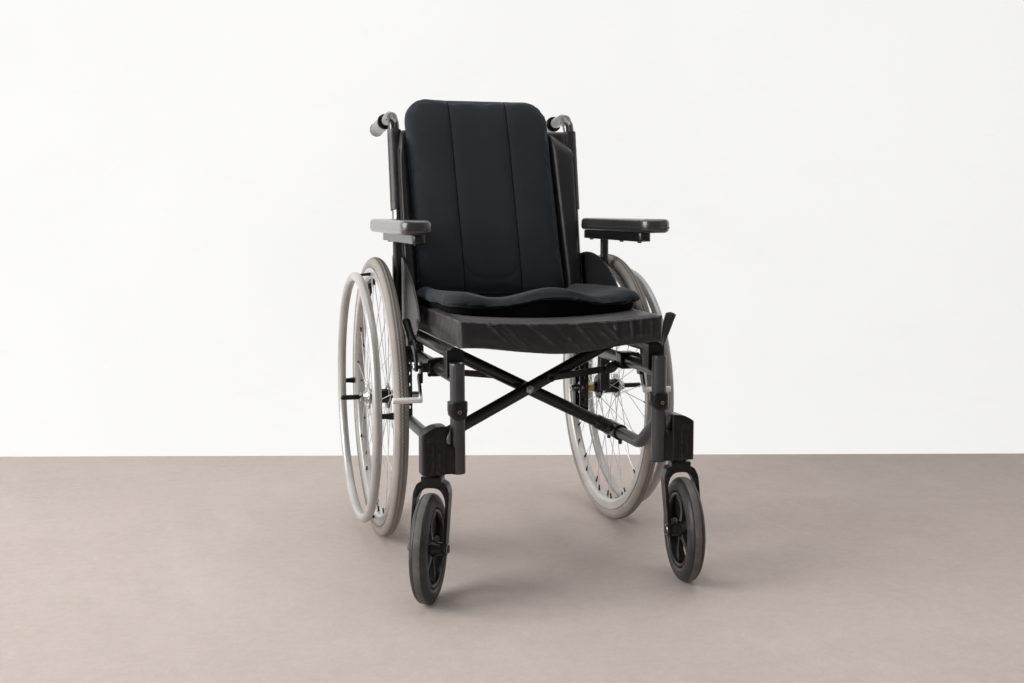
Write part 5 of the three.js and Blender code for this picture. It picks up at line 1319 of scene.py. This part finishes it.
def front_fittings(side, sign):
    for part, width, segments in (("front_tube_", 0.8, 2), ("caster_housing_", 1.8, 3),
            ("footrest_collar_", 0.9, 2), ("rail_saddle_", 1.2, 2)):
        refined(part + side, width, segments)
    front = AXLE_Y - 0.5
    turned("collar_insert_" + side, [(-3.6, 2.2), (-3.6, 3.3), (0.4, 3.3), (0.4, 2.2)],
            (sign * SIDE_X, front, 0.3455), "brass", "frame_" + side, segments=24, axis=(0, -1, 0),
            closed=True)
    for z in (0.243, 0.262):
        bolt_head("housing_screw_%s_%d" % (side, int(z * 1000)), (sign * 0.2145, AXLE_Y - 0.4862, z),
                (0, -1, 0), 3.4, 2.2, body="frame_" + side)
    turned("tube_plug_" + side, [(-6, 0.1), (-6, 11.6), (0.3, 11.8), (0.3, 13.6), (1.6, 13.2), (2.2, 11.0),
            (2.2, 0.1)], (sign * SIDE_X, AXLE_Y - 0.481, 0.23095), "black_plastic", "frame_" + side,
            segments=32, axis=(0, 0, -1))


def side_frame(side, sign):
    refined("lower_side_tube_" + side, 0.5)
    refined("upper_side_tube_" + side, 0.7, look=LOOKS["black_tube"])
    refined("axle_plate_" + side, 0.7)
    axle = refined("rear_axle_" + side, 0.5)
    second_look(axle, LOOKS["bright_steel"], lambda at: not 0.2165 < abs(at.x) < 0.245)
    for part, width in (("release_plunger_", 0.6), ("skirt_guard_", 0.9), ("armrest_receiver_", 1.0),
            ("fold_link_", 0.7)):
        refined(part + side, width)
    body = "frame_" + side
    turned("rear_plug_" + side, [(0, 0.1), (0, 11.6), (1.8, 12.4), (5.5, 12.2), (8.0, 9.5), (8.6, 0.1)],
            (sign * SIDE_X, AXLE_Y + 0.0531, LOWER_TUBE_Z), "black_plastic", body, segments=32,
            axis=(0, 1, 0))
    for k, (y, z) in enumerate(((0.0, LOWER_TUBE_Z), (0.0, 0.405))):
        bolt_head("plate_screw_%s_%d" % (side, k), (sign * 0.2149, AXLE_Y + y, z), (sign, 0, 0), 5.2, 3.0,
                slot="bright_steel", body=body)
    for k, (y, z) in enumerate(((-0.045, 0.470), (0.048, 0.470), (0.048, 0.560), (-0.180, 0.475))):
        bolt_head("guard_screw_%s_%d" % (side, k), (sign * 0.2181, AXLE_Y + y, z), (-sign, 0, 0), 5.0, 1.8,
                body=body)
    brace_y = AXLE_Y - (0.2635 if side == "right" else 0.2365)
    for k, way in enumerate((-1, 1)):
        y = brace_y + way * 0.0345
        turned("brace_stop_%s_%d" % (side, k), [(-4, 12.8), (-4, 16.0), (-3, 16.8), (3, 16.8), (4, 16.0),
                (4, 12.8)], (sign * SIDE_X, y, LOWER_TUBE_Z), "black_plastic", body, segments=36,
                axis=(0, 1, 0), closed=True)
        turned("brace_stop_screw_%s_%d" % (side, k), [(0, 0.1), (0, 4.2), (7, 4.0), (8, 3.0), (8.2, 0.1)],
                (sign * SIDE_X, y, LOWER_TUBE_Z - 0.0165), "black_plastic", body, segments=16,
                axis=(0, 0, -1))


def wheel_lock(side, sign):
    refined("lock_bracket_" + side, 1.2, 3)
    shoe = refined("lock_shoe_" + side, 0.5)
    second_look(shoe, LOOKS["black_plastic"], lambda at: at.z > 0.352)
    refined("lock_lever_" + side, 0.9, 3)
    body = "frame_" + side
    turned("lever_nut_" + side, [(0, 0.1), (0, 6.6), (0.4, 7.0), (3.2, 7.0), (4.0, 6.2), (4.0, 3.0),
            (5.6, 2.6), (5.8, 0.1)], (sign * 0.2412, AXLE_Y - 0.298, 0.405), "bright_steel", body,
            segments=6, axis=(sign, 0, 0), sharp=20)
    for k, z in enumerate((0.392, 0.418)):
        bolt_head("clamp_screw_%s_%d" % (side, k), (sign * 0.2165, AXLE_Y - 0.3183, z), (0, -1, 0), 4.0,
                2.6, body=body)


def centre_brace():
    for node in ("cross_brace_front", "cross_brace_rear"):
        refined(node, 0.6)
    refined("pivot_bolt", 0.7)
    for way in (-1, 1):
        centre = Vector((0, AXLE_Y - 0.250 + way * 0.0300, 0.348))
        turned("pivot_cap_" + ("front" if way < 0 else "back"),
                [(0, 0.1), (0, 6.2), (1.6, 5.8), (2.4, 3.5), (2.6, 0.1)], centre, "bright_steel",
                "brace_front", segments=24, axis=(0, way, 0))


# ---------------------------------------------------------------- room
def room():
    floor_look, wall_look = floor_and_wall()

    def plane(name, corners, look):
        mesh = bpy.data.meshes.new(name)
        mesh.from_pydata(corners, [], [(0, 1, 2, 3)])
        mesh.materials.append(look)
        placed(name, mesh)

    ahead = Vector((sin(CAMERA_YAW), cos(CAMERA_YAW), 0))
    side = Vector((ahead.y, -ahead.x, 0))
    foot = Vector((CAMERA_PLACE[0], CAMERA_PLACE[1], 0)) + ahead * WALL_DISTANCE
    left, right, up = foot - side * 7, foot + side * 7, Vector((0, 0, 3.6))
    plane("floor", [left - ahead * 8, right - ahead * 8, right, left], floor_look)
    plane("wall", [left, right, right + up, left + up], wall_look)


for side, sign in SIDES:
    rear_wheel(side, sign)
    caster(side, sign)
    handle(side, sign)
    armrest(side, sign)
    front_fittings(side, sign)
    side_frame(side, sign)
    wheel_lock(side, sign)
centre_brace()
seat_sling()
box_cushion()
contoured_pad()
back_upholstery()
back_cushion()
corner_flap()
room()
